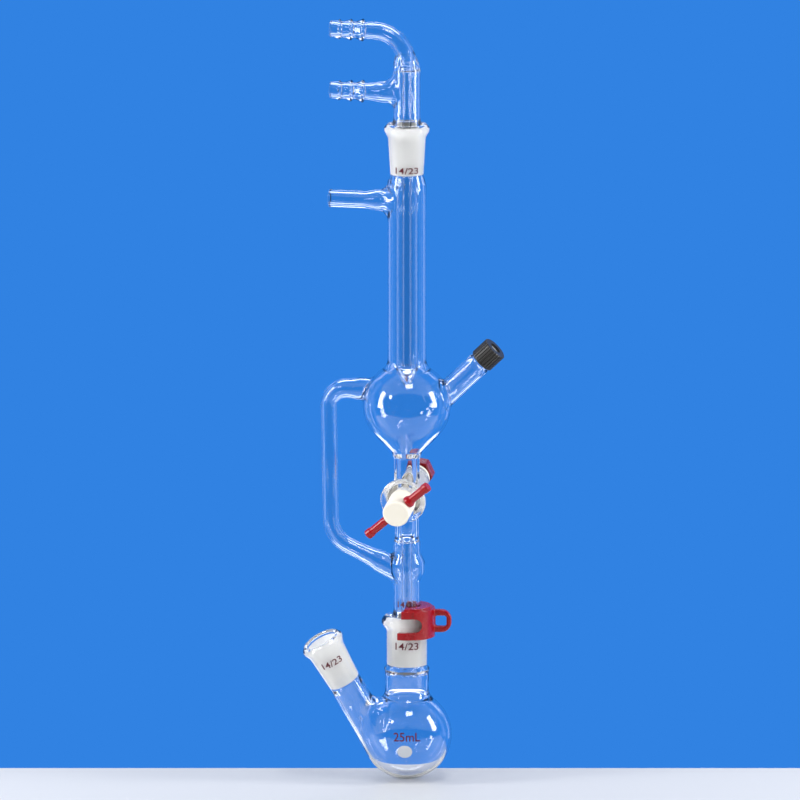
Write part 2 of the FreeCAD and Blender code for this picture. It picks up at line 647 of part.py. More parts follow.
stem_inside = turned("stem_inside", [
    ("0", "tip_z - over"),
    ("tip_d / 2 - tip_wall", "tip_z - over"),
    ("tip_d / 2 - tip_wall", "cone_low_z - zone_slope"),
    ("stem_d / 2 - stem_wall", "cone_low_z"),
    ("stem_d / 2 - stem_wall", "bulge_low_z - bulge_slope"),
    ("bulge_d / 2 - stem_wall", "bulge_low_z"),
    ("bulge_d / 2 - stem_wall", "bulge_high_z"),
    ("stem_d / 2 - stem_wall", "bulge_high_z + bulge_slope"),
    ("stem_d / 2 - stem_wall", "seal_z - seal_round", "seal_round"),
    ("stem_d / 2 - stem_wall - seal_round", "seal_z"),
    ("0", "seal_z"),
])
upper_inside = turned("upper_inside", [
    ("0", "drip_low_z - over"),
    ("drip_bore_d / 2", "drip_low_z - over"),
    ("drip_bore_d / 2", "seal_z"),
    ("outlet_bore_d / 2", "seal_z + outlet_slope"),
    ("outlet_bore_d / 2", "cock_z"),
    ("inlet_bore_d / 2", "cock_z"),
    ("inlet_bore_d / 2", "bulb_low_z - bulb_neck"),
    ("bulb_low_d / 2 - bulb_wall", "bulb_low_z + bulb_wall / 2"),
    ("bulb_in_r * cos(bulb_cone)", "bulb_z - bulb_in_r * sin(bulb_cone)", "bulb_in_r"),
    ("column_in_r", "bulb_z + sqrt(bulb_in_r ^ 2 - column_in_r ^ 2)"),
    ("column_in_r", "top_cone_low_z - top_neck"),
    ("joint_small_r", "top_cone_low_z"),
    ("joint_wide_d / 2", "top_rim_z"),
    ("joint_wide_d / 2 + over", "top_rim_z + over"),
    ("0", "top_rim_z + over"),
])
drip_tube = put(rod("drip_tube", "drip_d / 2", "seal_z + seal_thick - drip_low_z"), z="drip_low_z")

# The drip end is cut off at a slant, so that drops leave it at one point.
work_out("tip_middle_z", "tip_z + tip_d / 2 * tan(tip_slant)")
tip_cutter = doc.addObject("Part::Box", "tip_cutter")
bind(tip_cutter, Length="stem_d * 2", Width="stem_d * 2", Height="stem_d")
put(tip_cutter,
    x="-stem_d * (cos(tip_slant) + sin(tip_slant))",
    y="-stem_d",
    z="tip_middle_z + stem_d * (sin(tip_slant) - cos(tip_slant))",
    turns=[("0; 1; 0", "tip_slant")])

receiver_shell = without("receiver_shell", receiver_smooth, stem_inside, arm_bore, tip_cutter)
receiver_sealed = joined("receiver_sealed", receiver_shell, drip_tube)
receiver_glass = without("receiver_glass", receiver_sealed, upper_inside, barrel_bore, gas_bore, port_bore)

# Cold finger: one blown piece that rests in the top socket.
work_out("finger_cone_high_z", "top_rim_z + cone_proud")
work_out("finger_cone_low_z", "finger_cone_high_z - joint_length")
work_out("body_top_z", "top_rim_z + body_rise")
work_out("hook_z", "body_top_z + hook_rise")
work_out("barb_low_z", "body_top_z - barb_drop")
work_out("body_in_r", "body_d / 2 - body_wall")
work_out("finger_in_r", "finger_d / 2 - finger_wall")
finger_outside = turned("finger_outside", [
    ("0", "finger_tip_z"),
    ("finger_tip_d / 2", "finger_tip_z + finger_tip_edge"),
    ("finger_d / 2", "finger_tip_z + finger_tip"),
    ("finger_d / 2", "finger_cone_low_z - finger_in"),
    ("cone_low_r", "finger_cone_low_z"),
    ("cone_high_r", "finger_cone_high_z"),
    ("body_d / 2", "finger_cone_high_z + shoulder"),
    ("body_d / 2", "body_top_z"),
    ("hook_d / 2", "body_top_z + body_shoulder"),
    ("0", "body_top_z + body_shoulder"),
])
finger_inside = turned("finger_inside", [
    ("0", "finger_tip_z + finger_wall * 2"),
    ("finger_in_r", "finger_tip_z + finger_tip + finger_wall"),
    ("finger_in_r", "finger_cone_low_z - finger_in"),
    ("body_in_r", "finger_cone_low_z + body_wall"),
    ("body_in_r", "body_top_z"),
    ("0", "body_top_z"),
])
work_out("water_low_z", "finger_tip_z + water_low")
work_out("water_high_z", "body_top_z + seal_thick")
water_tube = put(rod("water_tube", "water_d / 2", "water_high_z - water_low_z"), z="water_low_z")


def barb_outline(start, reach):
    """Outline of a hose barb along its own axis: a tube with sloped ridges that shrink towards its tip."""
    rows = [("0", start), ("barb_root_d / 2", start)]
    for ridge in reversed(range(round(value("barb_ridges")))):
        crest = f"{reach} - barb_first - {ridge} * barb_pitch"
        crest_r = f"(barb_tip_d + {ridge} * barb_grow) / 2"
        rows.append(("barb_root_d / 2", f"{crest} - glass_round"))
        rows.append((crest_r, crest))
        rows.append(("barb_root_d / 2", f"{crest} + barb_slope"))
    rows.append(("barb_root_d / 2", f"{reach} - glass_round", "glass_round"))
    rows.append(("barb_root_d / 2 - glass_round", reach))
    rows.append(("0", reach))
    return rows


upper_barb = put(turned("upper_barb", barb_outline("hook_bend", "barb_reach")), z="hook_z", turns=LEFTWARD)
lower_barb = put(turned("lower_barb", barb_outline("0", "barb_reach")), z="barb_low_z", turns=LEFTWARD)
hook_path = path_sketch("hook_path", [
    ("0", "water_high_z"),
    ("0", "hook_z"),
    ("-hook_bend - hook_run", "hook_z"),
], ["hook_bend"])
hook = bent_rod("hook", hook_path, "hook_d / 2", "0", "water_high_z", "0")
work_out("elbow_x", "-barb_elbow - elbow_run")
elbow_path = path_sketch("elbow_path", [
    ("elbow_x", "barb_low_z"),
    ("-elbow_in", "barb_low_z"),
    ("-elbow_in", "barb_low_z + barb_elbow + over"),
], ["barb_elbow"])
elbow = bent_rod("elbow", elbow_path, "barb_root_d / 2", "elbow_x", "barb_low_z", "90")
root_cone = put(turned("root_cone", [
    ("0", "0"),
    ("barb_flare_d / 2", "0"),
    ("barb_flare_d / 2", "body_d / 4"),
    ("barb_root_d / 2", "barb_reach - barb_first - barb_ridges * barb_pitch"),
    ("0", "barb_reach - barb_first - barb_ridges * barb_pitch"),
]), z="barb_low_z", turns=LEFTWARD)
finger_glass = joined("finger_glass", finger_outside, hook, upper_barb, lower_barb, elbow, root_cone)
hook_bore = bent_rod("hook_bore", hook_path, "hook_bore_d / 2", "0", "water_high_z", "0")
upper_barb_bore = rod("upper_barb_bore", "barb_bore_d / 2", "barb_reach")
put(upper_barb_bore, x="-hook_bend", z="hook_z", turns=LEFTWARD)
lower_barb_bore = rod("lower_barb_bore", "barb_bore_d / 2", "barb_reach + over")
put(lower_barb_bore, z="barb_low_z", turns=LEFTWARD)
water_bore = rod("water_bore", "water_bore_d / 2", "water_high_z - water_low_z + 2 * over")
put(water_bore, z="water_low_z - over")
finger_shell = without("finger_shell", finger_glass, finger_inside, lower_barb_bore)
finger_sealed = joined("finger_sealed", finger_shell, water_tube)
cold_finger = without("cold_finger", finger_sealed, water_bore, hook_bore, upper_barb_bore)

# Stopcock: plug, handle, washer, rubber ring and nut lie on the barrel's axis, their fronts towards its +Z.
work_out("face", "barrel_front + head_step + head_length")
work_out("bar_at", "face - bar_from_face")
plug_turned = turned("plug_turned", [
    ("0", "-barrel_back - shank_length"),
    ("shank_d / 2 - shank_edge", "-barrel_back - shank_length"),
    ("shank_d / 2", "shank_edge - barrel_back - shank_length"),
    ("shank_d / 2", "-barrel_back"),
    ("plug_back_d / 2", "-barrel_back"),
    ("plug_front_d / 2", "barrel_front"),
    ("plug_front_d / 2", "barrel_front + head_step"),
    ("head_d / 2", "barrel_front + head_step"),
    ("head_d / 2", "face - head_edge", "head_edge"),
    ("head_d / 2 - head_edge", "face"),
    ("0", "face"),
])
bar_hole = put(rod("bar_hole", "bar_d / 2 + seat_gap", "head_d * 2"), z="bar_at", x="-head_d",
               turns=[("0; 1; 0", "90")])
plug_bore = put(rod("plug_bore", "plug_hole_d / 2", "head_d * 2"), x="-head_d", turns=[("0; 1; 0", "90")])


def on_barrel(thing, along="0", turns=()):
    """Set a thing on the barrel's axis, at a distance in front of the stopcock's centre."""
    return put(thing, y=f"-cos(cock_tilt) * ({along})", z=f"cock_z - sin(cock_tilt) * ({along})",
               turns=FRONTWARD + list(turns))


BAR_TURN = ("0; 0; 1", "bar_angle")
stopcock_plug = on_barrel(without("stopcock_plug", plug_turned, bar_hole, plug_bore), turns=[BAR_TURN])
stopcock_handle = turned("stopcock_handle", [
    ("0", "-bar_length / 2"),
    ("bar_end_d / 2 - bar_round", "-bar_length / 2", "bar_round"),
    ("bar_end_d / 2", "bar_round - bar_length / 2"),
    ("bar_end_d / 2", "bar_end - bar_end_slope - bar_length / 2"),
    ("bar_d / 2", "bar_end - bar_length / 2"),
    ("bar_d / 2", "head_d / 2 + bar_collar_gap"),
    ("bar_collar_d / 2", "head_d / 2 + bar_collar_gap"),
    ("bar_collar_d / 2", "head_d / 2 + bar_collar / 2"),
    ("bar_d / 2", "head_d / 2 + bar_collar"),
    ("bar_d / 2", "bar_length / 2 - bar_end"),
    ("bar_end_d / 2", "bar_length / 2 - bar_end + bar_end_slope"),
    ("bar_end_d / 2", "bar_length / 2 - bar_round", "bar_round"),
    ("bar_end_d / 2 - bar_round", "bar_length / 2"),
    ("0", "bar_length / 2"),
])
on_barrel(stopcock_handle, "bar_at", [BAR_TURN, ("0; 1; 0", "90")])

work_out("washer_back", "-barrel_back - seat_gap - washer_thick")
work_out("ring_middle", "washer_back - seat_gap - ring_wire_d / 2")
work_out("nut_back", "washer_back - 2 * seat_gap - ring_wire_d - nut_thick")
washer_disc = rod("washer_disc", "washer_d / 2", "washer_thick")
washer_hole = rod("washer_hole", "shank_d / 2 + slide_gap", "washer_thick")
stopcock_washer = on_barrel(without("stopcock_washer", washer_disc, washer_hole), "washer_back")
stopcock_o_ring = doc.addObject("Part::Torus", "stopcock_o_ring")
bind(stopcock_o_ring, Radius1="shank_d / 2 + slide_gap + ring_wire_d / 2", Radius2="ring_wire_d / 2")
on_barrel(stopcock_o_ring, "ring_middle")


def pad(body, name, sketch, length, downward=False):
    """Give a sketch of a body its thickness, upwards unless told otherwise."""
    feature = body.newObject("PartDesign::Pad", name)
    feature.Profile = sketch
    bind(feature, Length=length)
    feature.Reversed = downward
    return feature


def pocket(body, name, sketch, length=None):
    """Cut a sketch of a body upwards through it, or only as deep as a length."""
    feature = body.newObject("PartDesign::Pocket", name)
    feature.Profile = sketch
    feature.Reversed = True
    if length is None:
        feature.Type = "ThroughAll"
    else:
        bind(feature, Length=length)
    return feature


def origin_plane(body, role):
    """One of a body's own base planes."""
    return next(item for item in body.Origin.OriginFeatures if item.Role == role)


def flat_sketch(body, name, height="0"):
    """An empty sketch in a body, level at a height."""
    sketch = body.newObject("Sketcher::SketchObject", name)
    sketch.AttachmentSupport = [(origin_plane(body, "XY_Plane"), "")]
    sketch.MapMode = "FlatFace"
    sketch.setExpression("AttachmentOffset.Base.z", expand(height))
    return sketch


def add_circle(sketch, radius, x="0"):
    """A circle about the sketch's origin, or about a point on its X axis."""
    geo = sketch.addGeometry(Part.Circle(V(value(x), 0, 0), Z_AXIS, value(radius)))
    sketch.addConstraint(Sketcher.Constraint("PointOnObject", geo, 3, -1))
    rule = sketch.addConstraint(Sketcher.Constraint("DistanceX", -1, 1, geo, 3, value(x)))
    sketch.setExpression(f"Constraints[{rule}]", expand(x))
    rule = sketch.addConstraint(Sketcher.Constraint("Radius", geo, value(radius)))
    sketch.setExpression(f"Constraints[{rule}]", expand(radius))
    return sketch


def add_hexagon(sketch, flats):
    """A hexagon about the origin, held by its circle and its flats' distance."""
    corner_r = value(flats) / math.sqrt(3)
    corners = [V(corner_r * math.cos(math.radians(60 * i)), corner_r * math.sin(math.radians(60 * i)), 0)
               for i in range(6)]
    ring = sketch.addGeometry(Part.Circle(V(), Z_AXIS, corner_r), True)
    sides = [sketch.addGeometry(Part.LineSegment(corners[i], corners[(i + 1) % 6])) for i in range(6)]
    sketch.addConstraint(Sketcher.Constraint("Coincident", ring, 3, -1, 1))
    rule = sketch.addConstraint(Sketcher.Constraint("Radius", ring, corner_r))
    sketch.setExpression(f"Constraints[{rule}]", expand(f"{flats} / sqrt(3)"))
    for i, side in enumerate(sides):
        sketch.addConstraint(Sketcher.Constraint("Coincident", side, 2, sides[(i + 1) % 6], 1))
        sketch.addConstraint(Sketcher.Constraint("PointOnObject", side, 1, ring))
    for side in sides[1:]:
        sketch.addConstraint(Sketcher.Constraint("Equal", sides[0], side))
    sketch.addConstraint(Sketcher.Constraint("PointOnObject", sides[0], 1, -1))
    return sketch


def edge_names(shape, wanted):
    """Names of the edges for which wanted(edge) is true."""
    return [f"Edge{i}" for i, edge in enumerate(shape.Edges, start=1) if wanted(edge)]


stopcock_nut = doc.addObject("PartDesign::Body", "stopcock_nut")
pad(stopcock_nut, "nut_block", add_hexagon(flat_sketch(stopcock_nut, "nut_plan"), "nut_flats"), "nut_thick")
nut_bore_plan = add_circle(flat_sketch(stopcock_nut, "nut_bore_plan"), "shank_d / 2 + slide_gap")
nut_bore = pocket(stopcock_nut, "nut_bore", nut_bore_plan)
doc.recompute()
nut_bevel = stopcock_nut.newObject("PartDesign::Chamfer", "nut_bevel")
nut_bevel.Base = (nut_bore, edge_names(nut_bore.Shape, lambda edge: edge.Curve.TypeId == "Part::GeomLine"))
bind(nut_bevel, Size="nut_edge")
stopcock_nut.Tip = nut_bevel
on_barrel(stopcock_nut, "nut_back", [("0; 0; 1", "nut_turn")])

# Screw cap and septum lie on the port's axis, with the mouth of the port towards +Z.
work_out("septum_low", "port_neck_end + seat_gap")
work_out("cap_low", "septum_low + septum_thick + seat_gap + cap_end - cap_length")
port_cap = doc.addObject("PartDesign::Body", "port_cap")
pad(port_cap, "cap_block", add_circle(flat_sketch(port_cap, "cap_plan"), "cap_d / 2"), "cap_length")
cap_bore_plan = add_circle(flat_sketch(port_cap, "cap_bore_plan"), "cap_bore_d / 2")
pocket(port_cap, "cap_bore", cap_bore_plan, "cap_length - cap_end")
cap_hole_plan = add_circle(flat_sketch(port_cap, "cap_hole_plan"), "cap_hole_d / 2")
cap_hole = pocket(port_cap, "cap_hole", cap_hole_plan)
doc.recompute()


def on_cap_rim(edge):
    """The outer edges of the cap's two ends."""
    return edge.Closed and abs(edge.Curve.Radius - value("cap_d / 2")) < NEAR


cap_bevel = port_cap.newObject("PartDesign::Chamfer", "cap_bevel")
cap_bevel.Base = (cap_hole, edge_names(cap_hole.Shape, on_cap_rim))
bind(cap_bevel, Size="cap_edge")
groove_plan = flat_sketch(port_cap, "groove_plan", "cap_edge * 2")
add_circle(groove_plan, "cap_groove_d / 2", "cap_d / 2")
cap_groove = pocket(port_cap, "cap_groove", groove_plan)
doc.recompute()
cap_ribbing = port_cap.newObject("PartDesign::PolarPattern", "cap_ribbing")
cap_ribbing.Originals = [cap_groove]
cap_ribbing.Axis = (groove_plan, ["N_Axis"])
cap_ribbing.Angle = 360
bind(cap_ribbing, Occurrences="cap_ribs")
port_cap.Tip = cap_ribbing
port_septum = rod("port_septum", "cap_bore_d / 2 - slide_gap", "septum_thick")


def on_port(thing, along):
    """Set a thing on the port's axis, at a distance from the column's axis."""
    return put(thing, x=f"cos(port_rise) * ({along})", z=f"port_z + sin(port_rise) * ({along})",
               turns=PORTWARD)


on_port(port_cap, "cap_low")
on_port(port_septum, "septum_low")

# Joint clip: C-shaped arms under the flask's bead and over it, a collar round the stem and a finger loop.
work_out("clip_mid_z", "flask_height + clip_gap")
work_out("clip_high_z", "clip_mid_z + clip_plate")


def sector(name, radius, low, high, wrap):
    """A slice of a round bar, centred on +X."""
    wedge = doc.addObject("Part::Cylinder", name)
    bind(wedge, Radius=radius, Height=f"{high} - ({low})", Angle=wrap)
    return put(wedge, z=low, turns=[("0; 0; 1", f"-{wrap} / 2")])


work_out("clip_arm_r", "clip_arm_d / 2")
work_out("clip_low_arm_z", "clip_low_z + clip_low_arm")
work_out("clip_collar_z", "clip_high_z + clip_collar")
clip_low_arms = sector("clip_low_arms", "clip_arm_r", "clip_low_z", "clip_low_arm_z", "clip_wrap_low")
clip_high_arms = sector("clip_high_arms", "clip_arm_r", "clip_mid_z", "clip_high_z", "clip_wrap_high")
clip_neck = sector("clip_neck", "clip_collar_d / 2", "clip_mid_z", "clip_collar_z", "clip_wrap_collar")
clip_wall_round = rod("clip_wall_round", "clip_d / 2", "clip_high_z - clip_low_z")
put(clip_wall_round, z="clip_low_z")
clip_wall_box = doc.addObject("Part::Box", "clip_wall_box")
bind(clip_wall_box, Length="clip_d", Width="clip_d * 2", Height="clip_high_z")
put(clip_wall_box, x="clip_window_x", y="-clip_d")
clip_wall_plain = doc.addObject("Part::Common", "clip_wall_plain")
clip_wall_plain.Base = clip_wall_round
clip_wall_plain.Tool = clip_wall_box
work_out("clip_window_z", "(clip_low_arm_z + clip_mid_z) / 2")
window_end = rod("window_end", "clip_window_round", "clip_d * 2")
put(window_end, x="clip_window_x", y="clip_d", z="clip_window_z", turns=[("1; 0; 0", "90")])
clip_wall = without("clip_wall", clip_wall_plain, window_end)
clip_inside = turned("clip_inside", [
    ("0", "clip_low_z - over"),
    ("socket_d / 2 + clip_gap", "clip_low_z - over"),
    ("socket_d / 2 + clip_gap", "clip_low_arm_z"),
    ("rim_d / 2 + clip_gap", "clip_low_arm_z"),
    ("rim_d / 2 + clip_gap", "clip_mid_z"),
    ("cone_high_r + clip_gap", "clip_mid_z"),
    ("cone_high_r + clip_gap", "cone_high_z + clip_gap"),
    ("stem_d / 2 + clip_gap", "cone_high_z + shoulder + clip_gap"),
    ("stem_d / 2 + clip_gap", "clip_collar_z + over"),
    ("0", "clip_collar_z + over"),
])
work_out("loop_z", "(clip_low_z + clip_high_z) / 2 + loop_rise")
work_out("loop_x", "clip_d / 2")
loop_outer = doc.addObject("Part::Box", "loop_outer")
bind(loop_outer, Length="loop_reach - loop_x + loop_root", Width="loop_width", Height="loop_high")
put(loop_outer, x="loop_x - loop_root", y="-loop_width / 2", z="loop_z - loop_high / 2")


def along_y(edge):
    """The straight edges that run across the loop."""
    return abs(edge.tangentAt(edge.FirstParameter).y) > 0.99


def loop_end(edge):
    """The outer two of those edges."""
    return along_y(edge) and edge.CenterOfMass.x > value("loop_x + over")


loop_blunt = rounded("loop_blunt", loop_outer, "loop_end_round", loop_end)
loop_slot = doc.addObject("Part::Box", "loop_slot")
work_out("loop_slot_x", "loop_x + clip_gap")
work_out("loop_slot_length", "loop_reach - loop_bar - loop_slot_x")
bind(loop_slot, Length="loop_slot_length", Width="loop_width * 2", Height="loop_hole")
put(loop_slot, x="loop_slot_x", y="-loop_width", z="loop_z - loop_hole / 2")
loop_hole = rounded("loop_hole", loop_slot, "loop_hole_round", along_y)
loop_flat = without("loop_flat", loop_blunt, loop_hole)


def loop_rim(edge):
    """The loop's long edges, clear of the clip's wall."""
    flat = abs(abs(edge.CenterOfMass.y) - value("loop_width / 2")) < NEAR
    return flat and edge.BoundBox.XMin > value("loop_x")


finger_loop = rounded("finger_loop", loop_flat, "loop_round", loop_rim)
clip_solid = joined("clip_solid", clip_low_arms, clip_high_arms, clip_neck, clip_wall)
clip_open = without("clip_open", clip_solid, clip_inside)
joint_clip = joined("joint_clip", clip_open, finger_loop)
put(joint_clip, turns=[("0; 0; 1", "clip_bearing")])
doc.recompute()

NODES = [
    flask,
    receiver_glass,
    cold_finger,
    stopcock_plug,
    stopcock_handle,
    stopcock_washer,
    stopcock_o_ring,
    stopcock_nut,
    port_cap,
    port_septum,
    joint_clip,
]

failed = [thing.Name for thing in doc.Objects if {"Invalid", "Error"} & set(thing.State)]
for node in NODES:
    node.Label = node.Name
    if node.Shape.isNull() or not node.Shape.isValid() or len(node.Shape.Solids) != 1:
        failed.append(node.Name)
if failed:
    raise SystemExit(f"these did not come out: {failed}")

os.makedirs("parts", exist_ok=True)
for node in NODES:
    node.Shape.exportStep(f"parts/{node.Label}.step")
    print(node.Label, round(node.Shape.Volume, 1), "cubic mm", node.Shape.BoundBox)
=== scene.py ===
# %% [markdown]
# # A glass distillation receiver, dressed for its portrait
#
# The model comes from a CAD file: a small receiver for continuous distillation that stands on a two-neck
# flask, with a cold finger in its top joint. The CAD gives every size and every moving piece. This scene
# gives the looks: blown glass that bends the light, ground joints that scatter it, white PTFE, glossy red
# plastic and a ribbed black cap.
#
# The frame is loaded first and is never moved. Everything below is placed by the CAD's own lengths.

# %% Load the frame
import bmesh
import bpy
import math

from mathutils import Matrix, Vector, noise


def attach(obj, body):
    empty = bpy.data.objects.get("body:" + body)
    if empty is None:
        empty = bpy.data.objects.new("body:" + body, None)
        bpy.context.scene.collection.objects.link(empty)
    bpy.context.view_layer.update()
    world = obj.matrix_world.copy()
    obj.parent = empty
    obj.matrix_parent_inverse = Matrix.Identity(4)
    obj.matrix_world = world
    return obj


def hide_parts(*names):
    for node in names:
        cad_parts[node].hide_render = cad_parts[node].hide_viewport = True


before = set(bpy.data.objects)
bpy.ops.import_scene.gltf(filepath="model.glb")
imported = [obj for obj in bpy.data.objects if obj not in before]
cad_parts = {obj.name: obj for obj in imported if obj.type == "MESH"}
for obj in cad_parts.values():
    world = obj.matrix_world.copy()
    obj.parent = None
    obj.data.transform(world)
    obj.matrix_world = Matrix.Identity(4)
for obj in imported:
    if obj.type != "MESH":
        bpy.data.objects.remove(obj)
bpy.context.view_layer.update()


def add_object(name, data):
    """A new object, put into the scene."""
    thing = bpy.data.objects.new(name, data)
    bpy.context.collection.objects.link(thing)
    return thing


# %% [markdown]
# ## The camera
#
# The photograph was taken from far away with a long lens: upright edges stay upright, and the rims of the
# necks are narrow ellipses. Their width against their height gives an eye 11 degrees above the level, and
# the slant of the stopcock's axis gives 12.7 degrees to the right of its front. One millimetre of the object
# covers 2.22 pixels of the 800 pixel frame, so the frame is 360 mm wide at the column.

# %% Camera
MM = 0.001
EYE_TURN = math.radians(12.7)
EYE_RISE = math.radians(11)
EYE_AWAY = 12000 * MM
FRAME_PIXELS = 800
PIXELS_PER_MM = 2.22
FRAME_WIDE = FRAME_PIXELS / PIXELS_PER_MM * MM
AIM_ACROSS = -3.1 * MM
AIM_UP = 173.9 * MM
FAR_CLIP = 30

eye_right = Vector((math.cos(EYE_TURN), math.sin(EYE_TURN), 0))
eye_back = Vector((math.sin(EYE_TURN) * math.cos(EYE_RISE), -math.cos(EYE_TURN) * math.cos(EYE_RISE),
                   math.sin(EYE_RISE)))
aim = eye_right * AIM_ACROSS + Vector((0, 0, AIM_UP))
camera_data = bpy.data.cameras.new("camera")
camera_data.lens = camera_data.sensor_width * EYE_AWAY / FRAME_WIDE
camera_data.clip_end = FAR_CLIP
camera = add_object("camera", camera_data)
camera.location = aim + eye_back * EYE_AWAY
camera.rotation_euler = eye_back.to_track_quat("Z", "Y").to_euler()
bpy.context.scene.camera = camera
print("lens, mm:", round(camera_data.lens, 1))

# %% [markdown]
# ## Colours and nodes
#
# Colours are written as the hex values that a paint program shows. Blender mixes light in linear numbers, so
# one function turns hex into linear. One more function adds a shader node with its settings and its links,
# and short ones use it for maths, for mixed colours, for noise of a size in mm and for a material's skin.

# %% Colour and node helpers
def linear(hex_colour):
    """A linear RGBA colour from an sRGB hex value."""
    channels = [int(hex_colour[i:i + 2], 16) / 255 for i in (1, 3, 5)]
    return (*[c / 12.92 if c <= 0.04045 else ((c + 0.055) / 1.055) ** 2.4 for c in channels], 1)


def add_node(tree, kind, settings=None, **inputs):
    """Add a node. Settings are its properties; inputs are values, or sockets to link from."""
    node = tree.nodes.new(kind)
    for name, value in (settings or {}).items():
        setattr(node, name, value)
    for name, value in inputs.items():
        key = int(name[1:]) if name[0] == "_" else name.replace("_", " ")
        if isinstance(value, bpy.types.NodeSocket):
            tree.links.new(value, node.inputs[key])
        else:
            node.inputs[key].default_value = value
    return node


def calculate(tree, operation, *values):
    """The result of a maths node on numbers or sockets."""
    numbered = {f"_{k}": value for k, value in enumerate(values)}
    return add_node(tree, "ShaderNodeMath", {"operation": operation}, **numbered).outputs[0]


def mixed(tree, share, first, second):
    """A colour between two colours, by the share of the second."""
    return add_node(tree, "ShaderNodeMix", {"data_type": "RGBA"}, _0=share, _6=first, _7=second).outputs[2]


def new_material(name):
    """A material with an empty tree and its output node."""
    material = bpy.data.materials.new(name)
    material.use_nodes = True
    material.node_tree.nodes.clear()
    return material, material.node_tree, material.node_tree.nodes.new("ShaderNodeOutputMaterial")


def put_skin(tree, output, **inputs):
    """The surface of a material."""
    skin = add_node(tree, "ShaderNodeBsdfPrincipled", **inputs)
    tree.links.new(skin.outputs[0], output.inputs[0])


def cloudy(tree, place, size, detail):
    """Noise of a size in mm."""
    return add_node(tree, "ShaderNodeTexNoise", Vector=place, Scale=1000 / size, Detail=detail).outputs["Fac"]


# %% [markdown]
# ## Studio
#
# Glass has hardly any colour of its own. What shows is the backdrop through it, the lamps in its skin and
# the bright surfaces around the backdrop in its edges. The backdrop is an even blue that only the eye,
# mirrors and glass can see, so that it doesn't tint the red and the white pieces, nor what is ground. On the
# camera's side the room is dark, for mirrored light alone.
#
# An upright tube mirrors only what stands 11 degrees below the level. The windows left and right, a low and a
# high pane each, stand higher than that: they light the balls, the bends and the level tubes, and leave the
# column clear. A small window and a ceiling lamp stand on the camera's side. Pale strips frame the
# backdrop: one above it and one below it draw the edges of the level tubes, and weaker ones at its sides
# those of the upright tubes. The floor is a pale, half matt board that ends close behind the flask.

# %% World, lamps and floor
scene = bpy.context.scene
scene.view_settings.view_transform = "Standard"

BACKDROP = linear("#3182E2")
AMBIENT = linear("#E4E8EC")
AMBIENT_STRENGTH = 0.66
DARK_ROOM = linear("#10182A")
DARK_FROM, DARK_FULL = -0.1, 0.4

world = bpy.data.worlds.new("studio")
scene.world = world
world.use_nodes = True
tree = world.node_tree
tree.nodes.clear()
ray = add_node(tree, "ShaderNodeLightPath").outputs
seen = calculate(tree, "MAXIMUM", ray["Is Camera Ray"], ray["Is Glossy Ray"])
seen = calculate(tree, "MAXIMUM", seen, ray["Is Transmission Ray"])
unlit = calculate(tree, "LESS_THAN", ray["Diffuse Depth"], 0.5)
seen = calculate(tree, "MULTIPLY", seen, unlit)
there = add_node(tree, "ShaderNodeTexCoord")
facing = add_node(tree, "ShaderNodeVectorMath", {"operation": "DOT_PRODUCT"},
                  _0=there.outputs["Generated"], _1=tuple(eye_back))
ahead_of = add_node(tree, "ShaderNodeMapRange", Value=facing.outputs["Value"], _1=DARK_FROM, _2=DARK_FULL)
mirrored = calculate(tree, "MULTIPLY", ahead_of.outputs[0], ray["Is Glossy Ray"])
blue = add_node(tree, "ShaderNodeBackground", Color=mixed(tree, mirrored, BACKDROP, DARK_ROOM), Strength=1.0)
soft = add_node(tree, "ShaderNodeBackground", Color=AMBIENT, Strength=AMBIENT_STRENGTH)
either = add_node(tree, "ShaderNodeMixShader", _0=seen, _1=soft.outputs[0], _2=blue.outputs[0])
add_node(tree, "ShaderNodeOutputWorld", Surface=either.outputs[0])


def lamp(name, turn, rise, away, wide, high, watts):
    """A soft rectangular lamp that looks at the middle of the object. Angles are degrees from the camera."""
    data = bpy.data.lights.new(name, "AREA")
    data.shape = "RECTANGLE"
    data.size = wide * MM
    data.size_y = high * MM
    data.energy = watts
    around = EYE_TURN + math.radians(turn)
    up = math.radians(rise)
    way = Vector((math.sin(around) * math.cos(up), -math.cos(around) * math.cos(up), math.sin(up)))
    thing = add_object(name, data)
    thing.location = Vector((0, 0, AIM_UP)) + way * away * MM
    thing.rotation_euler = way.to_track_quat("Z", "Y").to_euler()


# Name, turn and rise in degrees, then distance, width and height in mm, then watts.
for row in (
        ("left_pane_low", -76, 4, 700, 150, 150, 1.5),
        ("left_pane_high", -76, 21, 700, 150, 250, 2.2),
        ("right_pane_low", 79, 4, 700, 150, 150, 1.5),
        ("right_pane_high", 79, 21, 700, 150, 250, 2.2),
        ("small_window", -49, 27, 700, 95, 110, 0.5),
        ("wall_left", -112, 10, 900, 150, 900, 0.2),
        ("edge_left", -140, 5, 900, 90, 900, 0.16),
        ("wall_right", 112, 10, 900, 150, 900, 0.2),
        ("edge_right", 140, 5, 900, 90, 900, 0.16),
        ("edge_above", 180, 42, 900, 900, 170, 1.5),
        ("edge_below", 180, -40, 900, 900, 170, 1.0),
        ("ceiling", 12, 62, 1000, 300, 220, 2.9)):
    lamp(*row)

